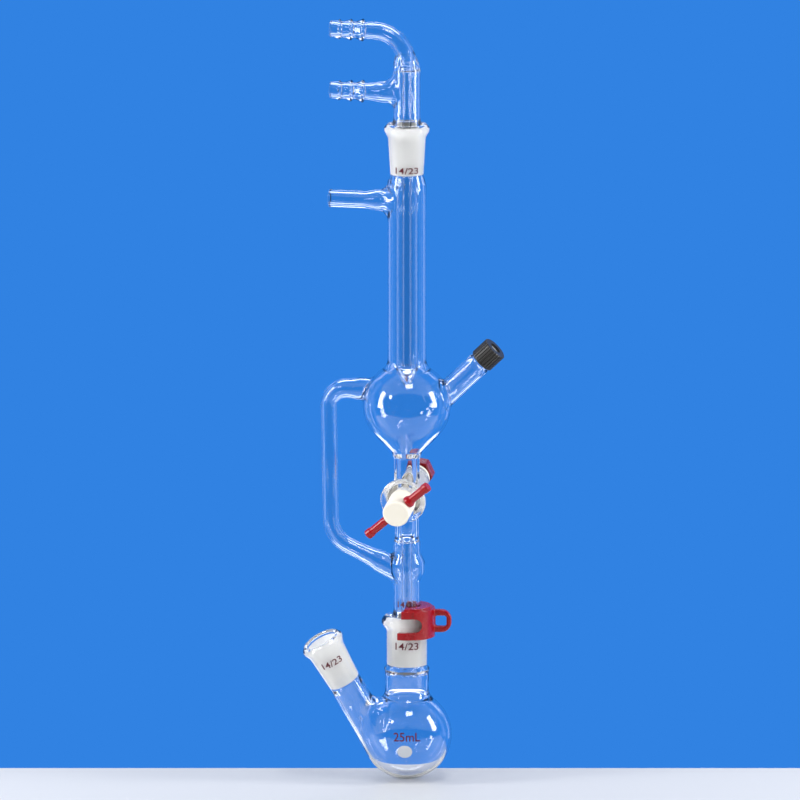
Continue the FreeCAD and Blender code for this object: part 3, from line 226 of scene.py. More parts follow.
FLOOR_BACK = 22
FLOOR_FRONT = 420
FLOOR_SIDE = 500
FLOOR_DROP = 0.05
floor_mesh = bpy.data.meshes.new("floor")
ahead = Vector((math.sin(EYE_TURN), -math.cos(EYE_TURN), 0))
corners = [eye_right * side * FLOOR_SIDE + ahead * reach for side, reach in
           ((-1, -FLOOR_BACK), (1, -FLOOR_BACK), (1, FLOOR_FRONT), (-1, FLOOR_FRONT))]
floor_mesh.from_pydata([corner * MM for corner in corners], [], [(3, 2, 1, 0)])
floor = add_object("floor", floor_mesh)
floor.location.z = -FLOOR_DROP * MM
material, tree, output = new_material("floor_board")
put_skin(tree, output, Base_Color=linear("#D3D3D2"), Roughness=0.35)
floor_mesh.materials.append(material)

# %% [markdown]
# ## How the glass is made
#
# A glassblower works with tubes: one is turned in the flame and takes any outline, it can be bent, and where
# its end is melted onto another wall the hot glass flows into a smooth fillet. The helpers copy that. An
# outline is a list of radii along a route, the route is straight or bent, and the root of a tube is fitted
# to the wall that it is joined to, ray by ray. Solids made this way are closed, so exact Boolean operations
# can join the outside, and then take out the inside, which is blown in the same way.

# %% Outlines and routes
RING_GAP = 1.6                       # the longest step along a wall, in mm
ARC_TURN = math.radians(9)           # the turn between two rings in a rounded corner
ALMOST_STRAIGHT = math.radians(89)   # half a corner's angle, from which it needs no rounding
CORNER_SHARE = 0.48                  # how much of a line next to a corner its rounding may take
BALL_STEP = 5                        # degrees between two rings of a ball
BEND_STEP = math.radians(1)


def soften(rows):
    """Rows of (radius, along, rounding) become a fine line of (along, radius), each corner rounded."""
    points = [Vector((row[1], row[0])) for row in rows]
    line = [points[0]]
    for before, here, after, row in zip(points, points[1:], points[2:], rows[1:]):
        reach = row[2] if len(row) > 2 else 0
        back = before - here
        on = after - here
        half = back.angle(on) / 2
        if not reach or half > ALMOST_STRAIGHT:
            line.append(here)
            continue
        setback = min(reach / math.tan(half), CORNER_SHARE * back.length, CORNER_SHARE * on.length)
        enter = here + back.normalized() * setback
        leave = here + on.normalized() * setback
        count = max(2, math.ceil((math.pi - 2 * half) / ARC_TURN))
        for k in range(count + 1):
            t = k / count
            line.append(enter * (1 - t) ** 2 + here * 2 * t * (1 - t) + leave * t * t)
    line.append(points[-1])
    fine = [line[0]]
    for start, end in zip(line, line[1:]):
        pieces = max(1, math.ceil((end - start).length / RING_GAP)) if min(start.y, end.y) > 0 else 1
        fine += [start.lerp(end, k / pieces) for k in range(1, pieces + 1)]
    return [(point.x, point.y) for point in fine]


def ball_rows(radius, middle, low, high):
    """Rows along a ball from one height angle to another, in degrees."""
    count = math.ceil((high - low) / BALL_STEP)
    angles = [math.radians(low + (high - low) * k / count) for k in range(count + 1)]
    return [(radius * math.cos(a), middle + radius * math.sin(a)) for a in angles]


class Route:
    """A line in one plane through corners, each rounded by its bend. It gives a place and a direction."""

    def __init__(self, corners, bends=()):
        corners = [Vector(corner) for corner in corners]
        self.spots = [corners[0]]
        for before, here, after, bend in zip(corners, corners[1:], corners[2:], bends):
            back = (before - here).normalized()
            on = (after - here).normalized()
            half = back.angle(on) / 2
            middle = here + (back + on).normalized() * (bend / math.sin(half))
            enter = here + back * (bend / math.tan(half)) - middle
            turn = math.pi - 2 * half
            spin_axis = back.cross(on).normalized()
            count = math.ceil(turn / BEND_STEP)
            self.spots += [middle + Matrix.Rotation(-turn * k / count, 3, spin_axis) @ enter
                           for k in range(count + 1)]
        self.spots.append(corners[-1])
        self.lengths = [0.0]
        for a, b in zip(self.spots, self.spots[1:]):
            self.lengths.append(self.lengths[-1] + (b - a).length)
        first = (corners[1] - corners[0]).normalized()
        across = Vector((0, 1, 0)) if abs(first.y) < 0.5 else Vector((1, 0, 0))
        self.side = (across - first * across.dot(first)).normalized()

    def at(self, along):
        """The centre, two cross directions and the way on, at a distance along the route."""
        i = 0
        while i < len(self.lengths) - 2 and self.lengths[i + 1] < along:
            i += 1
        forward = (self.spots[i + 1] - self.spots[i]).normalized()
        place = self.spots[i] + forward * (along - self.lengths[i])
        return place, self.side, forward.cross(self.side), forward


def straight(foot, way):
    """A straight route."""
    return Route([foot, foot + way])


# %% Walls that a tube can be melted onto
def onto_ball(height, radius):
    """How far a ray runs until it leaves a ball on the column's axis."""
    def reach(start, way):
        offset = start - Vector((0, 0, height))
        b = offset.dot(way)
        inside = b * b - offset.length_squared + radius * radius
        return -b + math.sqrt(inside) if inside > 0 else None
    return reach


def onto_rod(point, axis, radius):
    """How far a ray runs until it leaves a round bar."""
    point, axis = Vector(point), Vector(axis).normalized()

    def reach(start, way):
        offset = start - point
        offset -= axis * offset.dot(axis)
        flat = way - axis * way.dot(axis)
        a, b = flat.length_squared, offset.dot(flat)
        inside = b * b - a * (offset.length_squared - radius * radius)
        return (-b + math.sqrt(inside)) / a if inside > 0 else None
    return reach


# %% Blown solids and Boolean joins
SINK = 0.12          # how deep a root stands in the wall that it is joined to, in mm
FILLET_STEPS = 9
ROOM_HALVINGS = 12
ROOM_TRIM = 0.01


def root_rings(route, radius, fillet, wall, along, steps):
    """Rings from the wall up to the free tube: a fillet whose foot follows the wall.

    Where a full fillet would miss the wall, it shrinks until its foot just meets it."""
    place, side, cross, forward = route.at(along)
    way = forward if along == 0 else -forward
    rays, rooms = [], []
    for j in range(steps):
        around = 2 * math.pi * j / steps
        ray = side * math.cos(around) + cross * math.sin(around)
        room, step = fillet, fillet
        for _ in range(ROOM_HALVINGS):
            step /= 2
            hit = wall(place + ray * (radius + room), way) is not None
            room = min(fillet, room + step) if hit else room - step
        while wall(place + ray * (radius + room), way) is None:
            room -= ROOM_TRIM
        rays.append(ray)
        rooms.append(room)
    rings = []
    for k in range(FILLET_STEPS + 1):
        turn = math.pi / 2 * k / FILLET_STEPS
        ring = []
        for ray, room in zip(rays, rooms):
            start = place + ray * (radius + room * (1 - math.sin(turn)))
            ring.append(start + way * (wall(start, way) + fillet * (1 - math.cos(turn)) - SINK))
        rings.append(ring)
    foot = sum(rings[0], Vector()) / steps - way
    return foot, rings


def face_outwards(shape):
    """Turns the faces of a closed shape outwards."""
    bmesh.ops.recalc_face_normals(shape, faces=shape.faces)
    if shape.calc_volume(signed=True) < 0:
        bmesh.ops.reverse_faces(shape, faces=shape.faces)


def blown(name, rows, route=None, steps=96, start=None, end=None):
    """A closed solid: rows of (radius, along, rounding) on a route. start and end are (fillet, wall)."""
    route = route or Route([(0, 0, 0), (0, 0, 1)])
    line = soften(rows)
    rings, first, last = [], None, None
    if start:
        first, roots = root_rings(route, line[0][1], *start, 0, steps)
        rings += roots
    for along, radius in line:
        place, side, cross, forward = route.at(along)
        if radius < 1e-6:
            first, last = (place, last) if not rings else (first, place)
            continue
        rings.append([place + (side * math.cos(2 * math.pi * j / steps)
                               + cross * math.sin(2 * math.pi * j / steps)) * radius for j in range(steps)])
    if end:
        last, roots = root_rings(route, line[-1][1], *end, route.lengths[-1], steps)
        rings += reversed(roots)
    solid = bmesh.new()
    loops = [[solid.verts.new(point) for point in ring] for ring in rings]
    for low, high in zip(loops, loops[1:]):
        for j in range(steps):
            solid.faces.new((low[j], low[j - 1], high[j - 1], high[j]))
    for tip, loop in ((first, loops[0]), (last, loops[-1])):
        point = solid.verts.new(tip)
        for j in range(steps):
            solid.faces.new((loop[j - 1], loop[j], point))
    face_outwards(solid)
    bmesh.ops.scale(solid, verts=solid.verts, vec=(MM, MM, MM))
    mesh = bpy.data.meshes.new(name)
    solid.to_mesh(mesh)
    solid.free()
    return add_object(name, mesh)


def uneven(thing, foot, way, low, high, depth=0.35, grain=2.2):
    """Ripples a wall between two places along an axis, as the hot glass does where two tubes are joined."""
    foot, way = Vector(foot), Vector(way).normalized()
    for vertex in thing.data.vertices:
        place = vertex.co / MM
        offset = place - foot
        along = offset.dot(way)
        if low < along < high:
            swell = math.sin(math.pi * (along - low) / (high - low)) ** 2
            spoke = (offset - way * along).normalized()
            vertex.co += spoke * (noise.noise(place / grain) * depth * swell * MM)


def plain_mesh(thing):
    """The mesh of a thing with its modifiers carried out."""
    graph = bpy.context.evaluated_depsgraph_get()
    return bpy.data.meshes.new_from_object(thing.evaluated_get(graph))


def melted(name, base, others, operation="UNION"):
    """One closed solid from several that overlap, or from one with others taken out."""
    for other in others:
        join = base.modifiers.new("join", "BOOLEAN")
        join.operation = operation
        join.solver = "MANIFOLD"
        join.object = other
    mesh = plain_mesh(base)
    mesh.name = name
    result = add_object(name, mesh)
    for used in (base, *others):
        bpy.data.meshes.remove(used.data)
    return result


# %% [markdown]
# ## Glass and its two finishes
#
# Borosilicate glass is clear and hard, with an index of refraction of 1.47. Where two pieces fit together
# it is ground with grit: the surface breaks up into tiny facets and scatters the light, so that it looks
# milky. Both finishes are on the same mesh, and faces on a ground cone take the second one. The blown glass
# gets a very slow ripple, too weak to see but enough to break up the lamps' reflections as a flame does.

# %% Glass materials
GLASS_IOR = 1.47


def glass_material(name, grain, depth, strength, roughness, clearness):
    """Glass with a bump; its grain and depth are in mm."""
    material, tree, output = new_material(name)
    place = add_node(tree, "ShaderNodeTexCoord").outputs["Object"]
    wave = cloudy(tree, place, grain, 2.0)
    bump = add_node(tree, "ShaderNodeBump", Height=wave, Strength=strength, Distance=depth * MM)
    put_skin(tree, output, Base_Color=linear("#FFFFFF"), IOR=GLASS_IOR, Roughness=roughness,
             Transmission_Weight=clearness, Normal=bump.outputs[0])
    return material


clear_glass = glass_material("borosilicate_clear", grain=9, depth=0.3, strength=0.004,
                             roughness=0.0, clearness=1.0)
ground_glass = glass_material("borosilicate_ground", grain=0.25, depth=0.05, strength=0.5,
                              roughness=0.45, clearness=0.1)

WELD = 0.003         # the gap in mm that is closed,
SLIVER = 0.002       # and the edge that is too short to keep
ZONE_ENDS = 0.1      # how far in mm the middle of a ground face may be from its cone's ends,
ZONE_DEPTH = 0.2     # and from its wall
SHARP = math.radians(38)


def finish_glass(thing, zones, body, node):
    """Smooth shading, ground faces, and the place of the thing among the moving bodies.

    A zone is a cone: its foot, its direction, its two ends along it and the radius at each."""
    mesh = thing.data
    mesh.materials.clear()
    mesh.materials.append(clear_glass)
    mesh.materials.append(ground_glass)
    shape = bmesh.new()
    shape.from_mesh(mesh)
    bmesh.ops.remove_doubles(shape, verts=shape.verts, dist=WELD * MM)
    bmesh.ops.dissolve_degenerate(shape, edges=shape.edges, dist=SLIVER * MM)
    shape.to_mesh(mesh)
    shape.free()
    ground = 0
    for face in mesh.polygons:
        centre = Vector(face.center) / MM
        for foot, way, low, high, low_radius, high_radius in zones:
            offset = centre - foot
            along = offset.dot(way)
            if low - ZONE_ENDS < along < high + ZONE_ENDS:
                radius = low_radius + (high_radius - low_radius) * (along - low) / (high - low)
                if abs((offset - way * along).length - radius) < ZONE_DEPTH:
                    face.material_index = 1
                    ground += 1
    mesh.shade_smooth()
    mesh.set_sharp_from_angle(angle=SHARP)
    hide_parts(node)
    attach(thing, body)
    print(thing.name, "triangles", sum(len(face.vertices) - 2 for face in mesh.polygons), "ground", ground)


# %% [markdown]
# ## The flask
#
# A ball of 25 mL with two necks. Each neck is a tube with a ground socket, 14.5 mm wide at its rim and 23 mm
# long, with a taper of one in ten. The rim is melted back into a thick bead, which stays clear. Where the
# ground tube is joined to the neck, the inside of the hot glass was left uneven, and that catches the light.
# The centre neck is upright and the side neck leans 30 degrees away from the column. Its outer wall runs into
# the ball's almost without a bend.

# %% Flask
UP = Vector((0, 0, 1))
JOINT = 23
JOINT_WIDE = 7.25
JOINT_SMALL = 6.10
CLEAR_LIP = 2.6
JOINT_LIP = JOINT_WIDE - CLEAR_LIP / 20
BALL = 20.3
WALL = 1.3
FLASK_RIM = 75.1
FLASK_NECK = 9.1
side_turn = math.radians(32)
side_lean = math.radians(30)
SIDE_OUT = 14.6
SIDE_RIM = 53.6
outwards = Vector((-math.cos(side_turn), -math.sin(side_turn), 0))
side_way = outwards * math.sin(side_lean) + UP * math.cos(side_lean)
side_foot = outwards * SIDE_OUT + UP * BALL
side_route = straight(side_foot, side_way)
onto_flask = onto_ball(BALL, BALL)
in_flask = onto_ball(BALL, BALL - WALL)


def bead_rows(rim, zone, bead, tall):
    """Rows of a neck where its ground zone opens out to its thick, round bead."""
    return [(zone, rim - tall - 2.6, 4), (bead, rim - tall + 0.4, 1.5), (bead, rim - 1.7, 1.6),
            (bead - 1.5, rim, 1.2), (0, rim)]


def mouth_rows(rim):
    """Rows of the upper end of a ground socket and of its softened mouth."""
    return [(JOINT_WIDE - 0.02, rim - 0.4), (JOINT_WIDE + 0.45, rim), (JOINT_WIDE + 1.5, rim + 1),
            (0, rim + 1)]


def neck_inside(rim, bore, low):
    """Rows of a neck's bore, its ground socket and its mouth."""
    return [(bore, low), (bore, rim - JOINT - 3.8, 2), (JOINT_SMALL + 0.2, rim - JOINT - 1, 1),
            (JOINT_SMALL, rim - JOINT)] + mouth_rows(rim)


flask_ball = blown("flask_ball", [(0, 0)] + ball_rows(BALL, BALL, -88, 88) + [(0, 2 * BALL)], steps=144)
flask_neck = blown("flask_neck", [(9.9, 43.5), (9.9, 49.4, 1), (10.3, 50.7, 0.8), (FLASK_NECK, 52.4, 1)]
                   + bead_rows(FLASK_RIM, FLASK_NECK, 11.4, 4.0), start=(3, onto_flask), steps=128)
flask_side = blown("flask_side", [(7.5, 21), (7.3, SIDE_RIM - JOINT - 0.5, 4)]
                   + bead_rows(SIDE_RIM, 8.45, 9.8, 3.2), side_route, 128, start=(8, onto_flask))
hollow_ball = blown("hollow_ball", [(0, WALL)] + ball_rows(BALL - WALL, BALL, -88, 88)
                    + [(0, 2 * BALL - WALL)], steps=144)
hollow_neck = blown("hollow_neck", neck_inside(FLASK_RIM, 8.5, 42), start=(1.2, in_flask), steps=128)
hollow_side = blown("hollow_side", [(6.2, 18)] + neck_inside(SIDE_RIM, 5.9, 26)[1:], side_route, 128,
                    start=(6, in_flask))
uneven(hollow_neck, (0, 0, 0), UP, 45.5, 51.9)
uneven(hollow_side, side_foot, side_way, 24, 30.5, 0.25)
flask_outside = melted("flask_outside", flask_ball, [flask_neck, flask_side])
flask_hollow = melted("flask_hollow", hollow_ball, [hollow_neck, hollow_side])
flask = melted("glass_flask", flask_outside, [flask_hollow], "DIFFERENCE")
flask_zones = [
    (Vector(), UP, FLASK_RIM - JOINT, FLASK_RIM - CLEAR_LIP, JOINT_SMALL, JOINT_LIP),
    (side_foot, side_way, SIDE_RIM - JOINT, SIDE_RIM - CLEAR_LIP, JOINT_SMALL, JOINT_LIP),
]
finish_glass(flask, flask_zones, "flask", "flask")

# %% [markdown]
# ## Threads
#
# Two threads can be seen: on the glass neck under the black cap, and on the PTFE shank behind the stopcock.
# A thread is a ridge that climbs at an even pitch, so Geometry Nodes draw it: a spiral is the path and a
# small round profile is swept along it. A glass thread is round because it is pressed while the glass is
# soft, and a turned one in PTFE is just as shallow.

# %% Geometry Nodes: a thread
SPIRAL_STEPS = 48
RIDGE_STEPS = 8
SEAM = 0.001         # points nearer to each other than this, in mm, become one


def thread_tree():
    """A tree with a thread's sizes and its material as inputs. Gives the inputs' keys too."""
    tree = bpy.data.node_groups.new("screw_thread", "GeometryNodeTree")
    tree.interface.new_socket("Geometry", in_out="OUTPUT", socket_type="NodeSocketGeometry")
    keys = {}
    for label, kind in (("Core Radius", "NodeSocketFloat"), ("Pitch", "NodeSocketFloat"),
                        ("Turns", "NodeSocketFloat"), ("Ridge Radius", "NodeSocketFloat"),
                        ("Finish", "NodeSocketMaterial")):
        keys[label] = tree.interface.new_socket(label, in_out="INPUT", socket_type=kind).identifier
    given = tree.nodes.new("NodeGroupInput").outputs
    height = calculate(tree, "MULTIPLY", given["Pitch"], given["Turns"])
    spiral = add_node(tree, "GeometryNodeCurveSpiral", Resolution=SPIRAL_STEPS, Rotations=given["Turns"],
                      Start_Radius=given["Core Radius"], End_Radius=given["Core Radius"], Height=height)
    profile = add_node(tree, "GeometryNodeCurvePrimitiveCircle", Resolution=RIDGE_STEPS,
                       Radius=given["Ridge Radius"])
    swept = add_node(tree, "GeometryNodeCurveToMesh", Curve=spiral.outputs[0],
                     Profile_Curve=profile.outputs[0], Fill_Caps=True)
    real = add_node(tree, "GeometryNodeRealizeInstances", Geometry=swept.outputs[0])
    finish = add_node(tree, "GeometryNodeSetMaterial", Geometry=real.outputs[0], Material=given["Finish"])
    result = tree.nodes.new("NodeGroupOutput")
    tree.links.new(finish.outputs[0], result.inputs[0])
    return tree, keys


screw_tree, screw_keys = thread_tree()


def thread(name, finish, foot, way, radius, pitch, turns, ridge):
    """A thread round an axis, made a plain mesh in its place. Lengths in mm."""
    thing = add_object(name, bpy.data.meshes.new(name))
    sweep = thing.modifiers.new("thread", "NODES")
    sweep.node_group = screw_tree
    for label, value in (("Core Radius", radius * MM), ("Pitch", pitch * MM), ("Turns", turns),
                         ("Ridge Radius", ridge * MM), ("Finish", finish)):
        sweep[screw_keys[label]] = value
    mesh = plain_mesh(thing)
    thing.modifiers.clear()
    turn = Vector(way).to_track_quat("Z", "Y").to_matrix().to_4x4()
    mesh.transform(Matrix.Translation(Vector(foot) * MM) @ turn)
    shape = bmesh.new()
    shape.from_mesh(mesh)
    bmesh.ops.remove_doubles(shape, verts=shape.verts, dist=SEAM * MM)
    face_outwards(shape)
    shape.to_mesh(mesh)
    open_edges = sum(not edge.is_manifold for edge in shape.edges)
    shape.free()
    thing.data = mesh
    print(name, "faces", len(mesh.polygons), "open edges", open_edges)
    return thing


# %% [markdown]
# ## The receiver
#
# From below: a cone that fits the flask, a stem with a thin drip tube inside it behind a ring seal, the
# barrel of the stopcock across the column, the collecting bulb and a plain column up to the top socket. The
# bypass arm lets vapour go round the bulb. A gas arm leaves under the top socket and a screw port rises out
# of the bulb. The outside is joined first, then the hollows are taken out, and the drip tube goes in between.

# %% Receiver, outside
COCK = 130.7
BARREL = 7.0
BARREL_BACK, BARREL_FRONT = -18, 9
PLUG_SMALL, PLUG_WIDE = 3.35, 5.95
cock_tilt = math.radians(12)
cock_way = Vector((0, -math.cos(cock_tilt), -math.sin(cock_tilt)))
cock_foot = UP * COCK
cock_route = straight(cock_foot, cock_way)
onto_barrel = onto_rod(cock_foot, cock_way, BARREL)
BULB_MIDDLE = 171.5
BULB = 19.9
onto_bulb = onto_ball(BULB_MIDDLE, BULB)
in_bulb = onto_ball(BULB_MIDDLE, BULB - WALL)
STEM = 6
COLUMN = 8.75
COLUMN_BORE = COLUMN - 1.4
COLUMN_TOP = 272.5
TOP_RIM = 300.5
SEAL = 109
CONE_LOW = 52.9
CONE_HIGH = 73.7
CONE_WIDE = 7.14
port_rise = math.radians(44)
port_way = Vector((math.cos(port_rise), 0, math.sin(port_rise)))
port_foot = UP * 160
port_route = straight(port_foot, port_way)
GAS = 265
LEFT = Vector((-1, 0, 0))
gas_route = straight(UP * GAS, LEFT)
ARM_HIGH = 178.2
ARM_LOW = 109.5
ARM_OUT_HIGH = 36.2
ARM_OUT_LOW = 35
ARM_WALL = 1.2
arm_fall = math.tan(math.radians(24))
arm_route = Route([(0, 0, ARM_HIGH), (-ARM_OUT_HIGH, 0, ARM_HIGH), (-ARM_OUT_LOW, 0, ARM_LOW),
                   (0, 0, ARM_LOW - ARM_OUT_LOW * arm_fall)], (8.5, 13.5))
ARM_END = arm_route.lengths[-1]


def onto_column(radius):
    """How far a ray runs until it leaves an upright bar on the column's axis."""
    return onto_rod((0, 0, 0), UP, radius)


def downwards(rows):
    """Rows given by height, turned into rows below the stopcock's centre."""
    return [(row[0], COCK - row[1], *row[2:]) for row in rows]


lower = blown("lower", downwards([
    (5.4, 121), (5.4, 111.4, 1), (5.5, 110.2, 1), (6.2, 108.6, 1.5), (6.1, 103.8, 3), (8.1, 99.6, 3),
    (8.1, 95, 3), (STEM, 90.8, 3), (STEM, 77.4, 2), (CONE_WIDE, CONE_HIGH, 0.8), (6.1, CONE_LOW, 1),
    (4.7, 50.4, 1), (4.4, 47.4, 0.4), (0, 47.4)]), straight(cock_foot, -UP), 112, start=(1.5, onto_barrel))
bulb = blown("bulb", [(0, 141.5), (5.8, 141.5), (5.8, 147.4, 1.5), (6.9, 150.3, 0.8), (7.6, 150.9, 0.8)]
             + ball_rows(BULB, BULB_MIDDLE, -45, 88) + [(0, BULB_MIDDLE + BULB)], steps=144)
inlet = blown("inlet", [(5.78, 12), (5.78, 15), (0, 15.2)], straight(cock_foot, UP), 112,
              start=(1.5, onto_barrel))
column = blown("column", [(COLUMN, 200), (COLUMN, COLUMN_TOP, 3), (7.5, 277, 2)]
               + bead_rows(TOP_RIM, 8.5, 10.2, 3.6), steps=128, start=(3, onto_bulb))
barrel = blown("barrel", [(0, BARREL_BACK), (6.4, BARREL_BACK, 0.6), (7.6, 5, 2), (10.3, 7, 0.4),
                          (10.3, BARREL_FRONT, 0.6), (0, BARREL_FRONT)], cock_route, 112)
gas_arm = blown("gas_arm", [(4.7, 14.2), (4.4, 16, 2), (4.1, 18.5, 4), (4.1, 35.7, 0.7), (0, 35.7)],
                gas_route, 96, start=(4.6, onto_column(COLUMN)))
port = blown("port", [(5.4, 36), (5.4, 46.4, 1), (4.15, 46.4, 0.3), (4.15, 53.8, 0.4), (0, 53.8)],
             port_route, 96, start=(2.5, onto_bulb))
arm_rows = [(5.0, 21.5), (4.6, 25, 5), (4.3, 30, 8), (3.6, 38, 12), (3.6, ARM_END - 25, 12),
            (4.2, ARM_END - 17, 8), (5.0, ARM_END - 13)]
arm = blown("arm", arm_rows, arm_route, 72, start=(1.8, onto_bulb), end=(3.2, onto_column(STEM)))
port_thread = thread("port_thread", clear_glass, port_foot + port_way * 47.9, port_way,
                     radius=4.12, pitch=2.0, turns=2.3, ridge=0.4)
receiver_outside = melted("receiver_outside", lower,
                          [bulb, inlet, column, barrel, gas_arm, port, arm, port_thread])

# %% Receiver, hollows and drip tube
stem_hollow = blown("stem_hollow", [
    (0, 46.4), (3.2, 46.4), (3.2, 50.9, 1), (4.8, 53.4, 1), (4.8, 90.8, 3), (6.7, 95, 3), (6.7, 99.6, 3),
    (4.8, 103.8, 3), (4.8, SEAL, 1.2), (0, SEAL)], steps=96)
arm_hollow = blown("arm_hollow", [(radius - ARM_WALL, *rest) for radius, *rest in arm_rows], arm_route, 72,
                   start=(1.8, in_bulb), end=(2.6, onto_column(4.8)))
tip_slant = math.radians(27)
tip_cut = blown("tip_cut", [(0, 0), (12, 0), (12, 12), (0, 12)],
                straight(UP * 49.65, -Vector((math.sin(tip_slant), 0, math.cos(tip_slant)))))
uneven(arm_hollow, UP * ARM_HIGH, LEFT, 17, 24.5)
receiver_shell = melted("receiver_shell", receiver_outside, [stem_hollow, arm_hollow, tip_cut], "DIFFERENCE")
drip_tube = blown("drip_tube", [(0, 60), (2.5, 60, 0.4), (2.5, SEAL, 1), (3.4, SEAL + 0.9), (0, SEAL + 0.9)],
                  steps=64)
receiver_sealed = melted("receiver_sealed", receiver_shell, [drip_tube])
way_down = blown("way_down", [
    (0, 59), (1.6, 59), (1.6, 108.5, 3), (2.7, 113, 3), (2.7, COCK), (3.2, COCK), (3.2, 147.8, 2),
    (5.5, 150.9, 1)] + ball_rows(BULB - WALL, BULB_MIDDLE, -45, 88) + [(0, BULB_MIDDLE + BULB - WALL)],
    steps=128)
column_hollow = blown("column_hollow", [
    (COLUMN_BORE, 200), (COLUMN_BORE, COLUMN_TOP, 3), (JOINT_SMALL, TOP_RIM - JOINT, 0.2)]
    + mouth_rows(TOP_RIM), steps=128, start=(3, in_bulb))
barrel_bore = blown("barrel_bore", [
    (0, BARREL_BACK - 1), (PLUG_SMALL, BARREL_BACK - 1), (PLUG_SMALL, BARREL_BACK), (PLUG_WIDE, BARREL_FRONT),
    (PLUG_WIDE, BARREL_FRONT + 1), (0, BARREL_FRONT + 1)], cock_route, 96)
gas_bore = blown("gas_bore", [(3.3, 14), (2.9, 16, 2), (2.4, 19, 4), (2.4, 36.7), (0, 36.7)], gas_route, 80,
                 start=(3.6, onto_column(COLUMN_BORE)))
port_bore = blown("port_bore", [(4.1, 34), (4.1, 43.4, 1), (3, 45.4, 1), (3, 54.8), (0, 54.8)],
                  port_route, 80, start=(2, in_bulb))
uneven(column_hollow, (0, 0, 0), UP, 269, TOP_RIM - JOINT)
uneven(gas_bore, UP * GAS, LEFT, 7, 17)
uneven(port_bore, port_foot, port_way, 22, 33)
receiver = melted("glass_receiver", receiver_sealed,
                  [way_down, column_hollow, barrel_bore, gas_bore, port_bore], "DIFFERENCE")
receiver_zones = [
    (Vector(), UP, CONE_LOW, CONE_HIGH, JOINT_SMALL, CONE_WIDE),
    (Vector(), UP, TOP_RIM - JOINT, TOP_RIM - CLEAR_LIP, JOINT_SMALL, JOINT_LIP),
    (cock_foot, cock_way, BARREL_BACK, BARREL_FRONT, PLUG_SMALL, PLUG_WIDE),
]
finish_glass(receiver, receiver_zones, "receiver", "receiver_glass")

# %% [markdown]
# ## The cold finger
#
# Water goes in at the upper barb, down a thin tube to the tip, back up between that tube and the finger, and
# out at the lower barb. Outside, it is one tube from the drip point up through the cone and round the bend,
# so one outline along one bent route makes it, barbs and all. The lower barb sweeps up into the body.

# %% Cold finger
HOOK = 342.4
FINGER_CONE_LOW = 278.3
FINGER_CONE_HIGH = 298.9
FINGER_CONE_WIDE = 7.13
FINGER_BODY = 6.15
BARB_LOW = 314.5
BARB_REACH = 35.2
BARB_TUBE = 3.7
FIRST_RIDGE = 4.2
RIDGE_GAP = 5.4
RIDGE_WIDE = 9.1
RIDGE_GROWTH = 0.65
hook_route = Route([(0, 0, 0), (0, 0, HOOK), (-BARB_REACH, 0, HOOK)], (15,))
TIP_END = hook_route.lengths[-1]
low_barb_route = straight(UP * BARB_LOW, LEFT)


def barb_rows(end):
    """Three sloped ridges that shrink towards the tip of a barb, in the order of its outline."""
    rows = []
    for ridge in (2, 1, 0):
        crest = end - FIRST_RIDGE - ridge * RIDGE_GAP
        rows += [(BARB_TUBE, crest - 0.8, 0.3), ((RIDGE_WIDE + RIDGE_GROWTH * ridge) / 2, crest, 0.35),
                 (BARB_TUBE, crest + 3.2, 0.6)]
    return rows + [(BARB_TUBE, end, 0.7), (0, end)]


finger = blown("finger", [
    (0, 180.3), (1.1, 180.4, 0.6), (4.95, 187.8, 2.5), (4.95, 271.3, 3), (6.1, FINGER_CONE_LOW, 1),
    (FINGER_CONE_WIDE, FINGER_CONE_HIGH, 0.8), (FINGER_BODY, 302.4, 2), (FINGER_BODY, 325, 3),
    (4.1, 331.9, 5), (4.1, TIP_END - 20, 2)] + barb_rows(TIP_END), hook_route, 112)
low_barb = blown("low_barb", [(4.9, 11.4), (4.1, 15, 4)] + barb_rows(BARB_REACH), low_barb_route, 88,
                 start=(3, onto_column(FINGER_BODY)))
sweep_route = Route([(-17, 0, BARB_LOW), (-1, 0, BARB_LOW), (-1, 0, 331)], (12,))
sweep = blown("sweep", [(0, 0), (3.9, 0), (4.1, 3, 3), (5.1, 24, 3), (4.4, 27.5), (0, 27.5)], sweep_route, 88)
finger_outside = melted("finger_outside", finger, [low_barb, sweep])
finger_hollow = blown("finger_hollow", [
    (0, 182.3), (3.95, 188.6, 2), (3.95, 271.3, 3), (5, 279.6, 2), (5, 325.2, 1.5), (0, 325.2)], steps=96)
low_bore = blown("low_bore", [(3, 11.5), (2.6, 16, 4), (2.4, 20, 3), (2.4, 36.2), (0, 36.2)],
                 low_barb_route, 64, start=(3, onto_column(5)))
sweep_bore = blown("sweep_bore", [(0, 0), (2.5, 0), (2.8, 3, 3), (3.9, 22, 3), (3.2, 24), (0, 24)],
                   sweep_route, 72)
uneven(low_bore, UP * BARB_LOW, LEFT, 7, 19, 0.25)
finger_shell = melted("finger_shell", finger_outside, [finger_hollow, low_bore, sweep_bore], "DIFFERENCE")
water_tube = blown("water_tube", [(0, 189.3), (2.25, 189.3, 0.3), (2.25, 325, 1), (3.4, 326.4), (0, 326.4)],
                   steps=64)
finger_sealed = melted("finger_sealed", finger_shell, [water_tube])
water_bore = blown("water_bore", [(0, 188.3), (1.4, 188.3), (1.4, 324, 3), (2.5, 329, 3), (2.5, TIP_END - 18),
                                  (2.3, TIP_END - 16), (2.3, TIP_END + 0.5), (0, TIP_END + 0.5)],
                   hook_route, 64)
cold_finger = melted("glass_finger", finger_sealed, [water_bore], "DIFFERENCE")
finger_zones = [(Vector(), UP, FINGER_CONE_LOW, FINGER_CONE_HIGH, JOINT_SMALL, FINGER_CONE_WIDE)]
finish_glass(cold_finger, finger_zones, "cold_finger", "cold_finger")

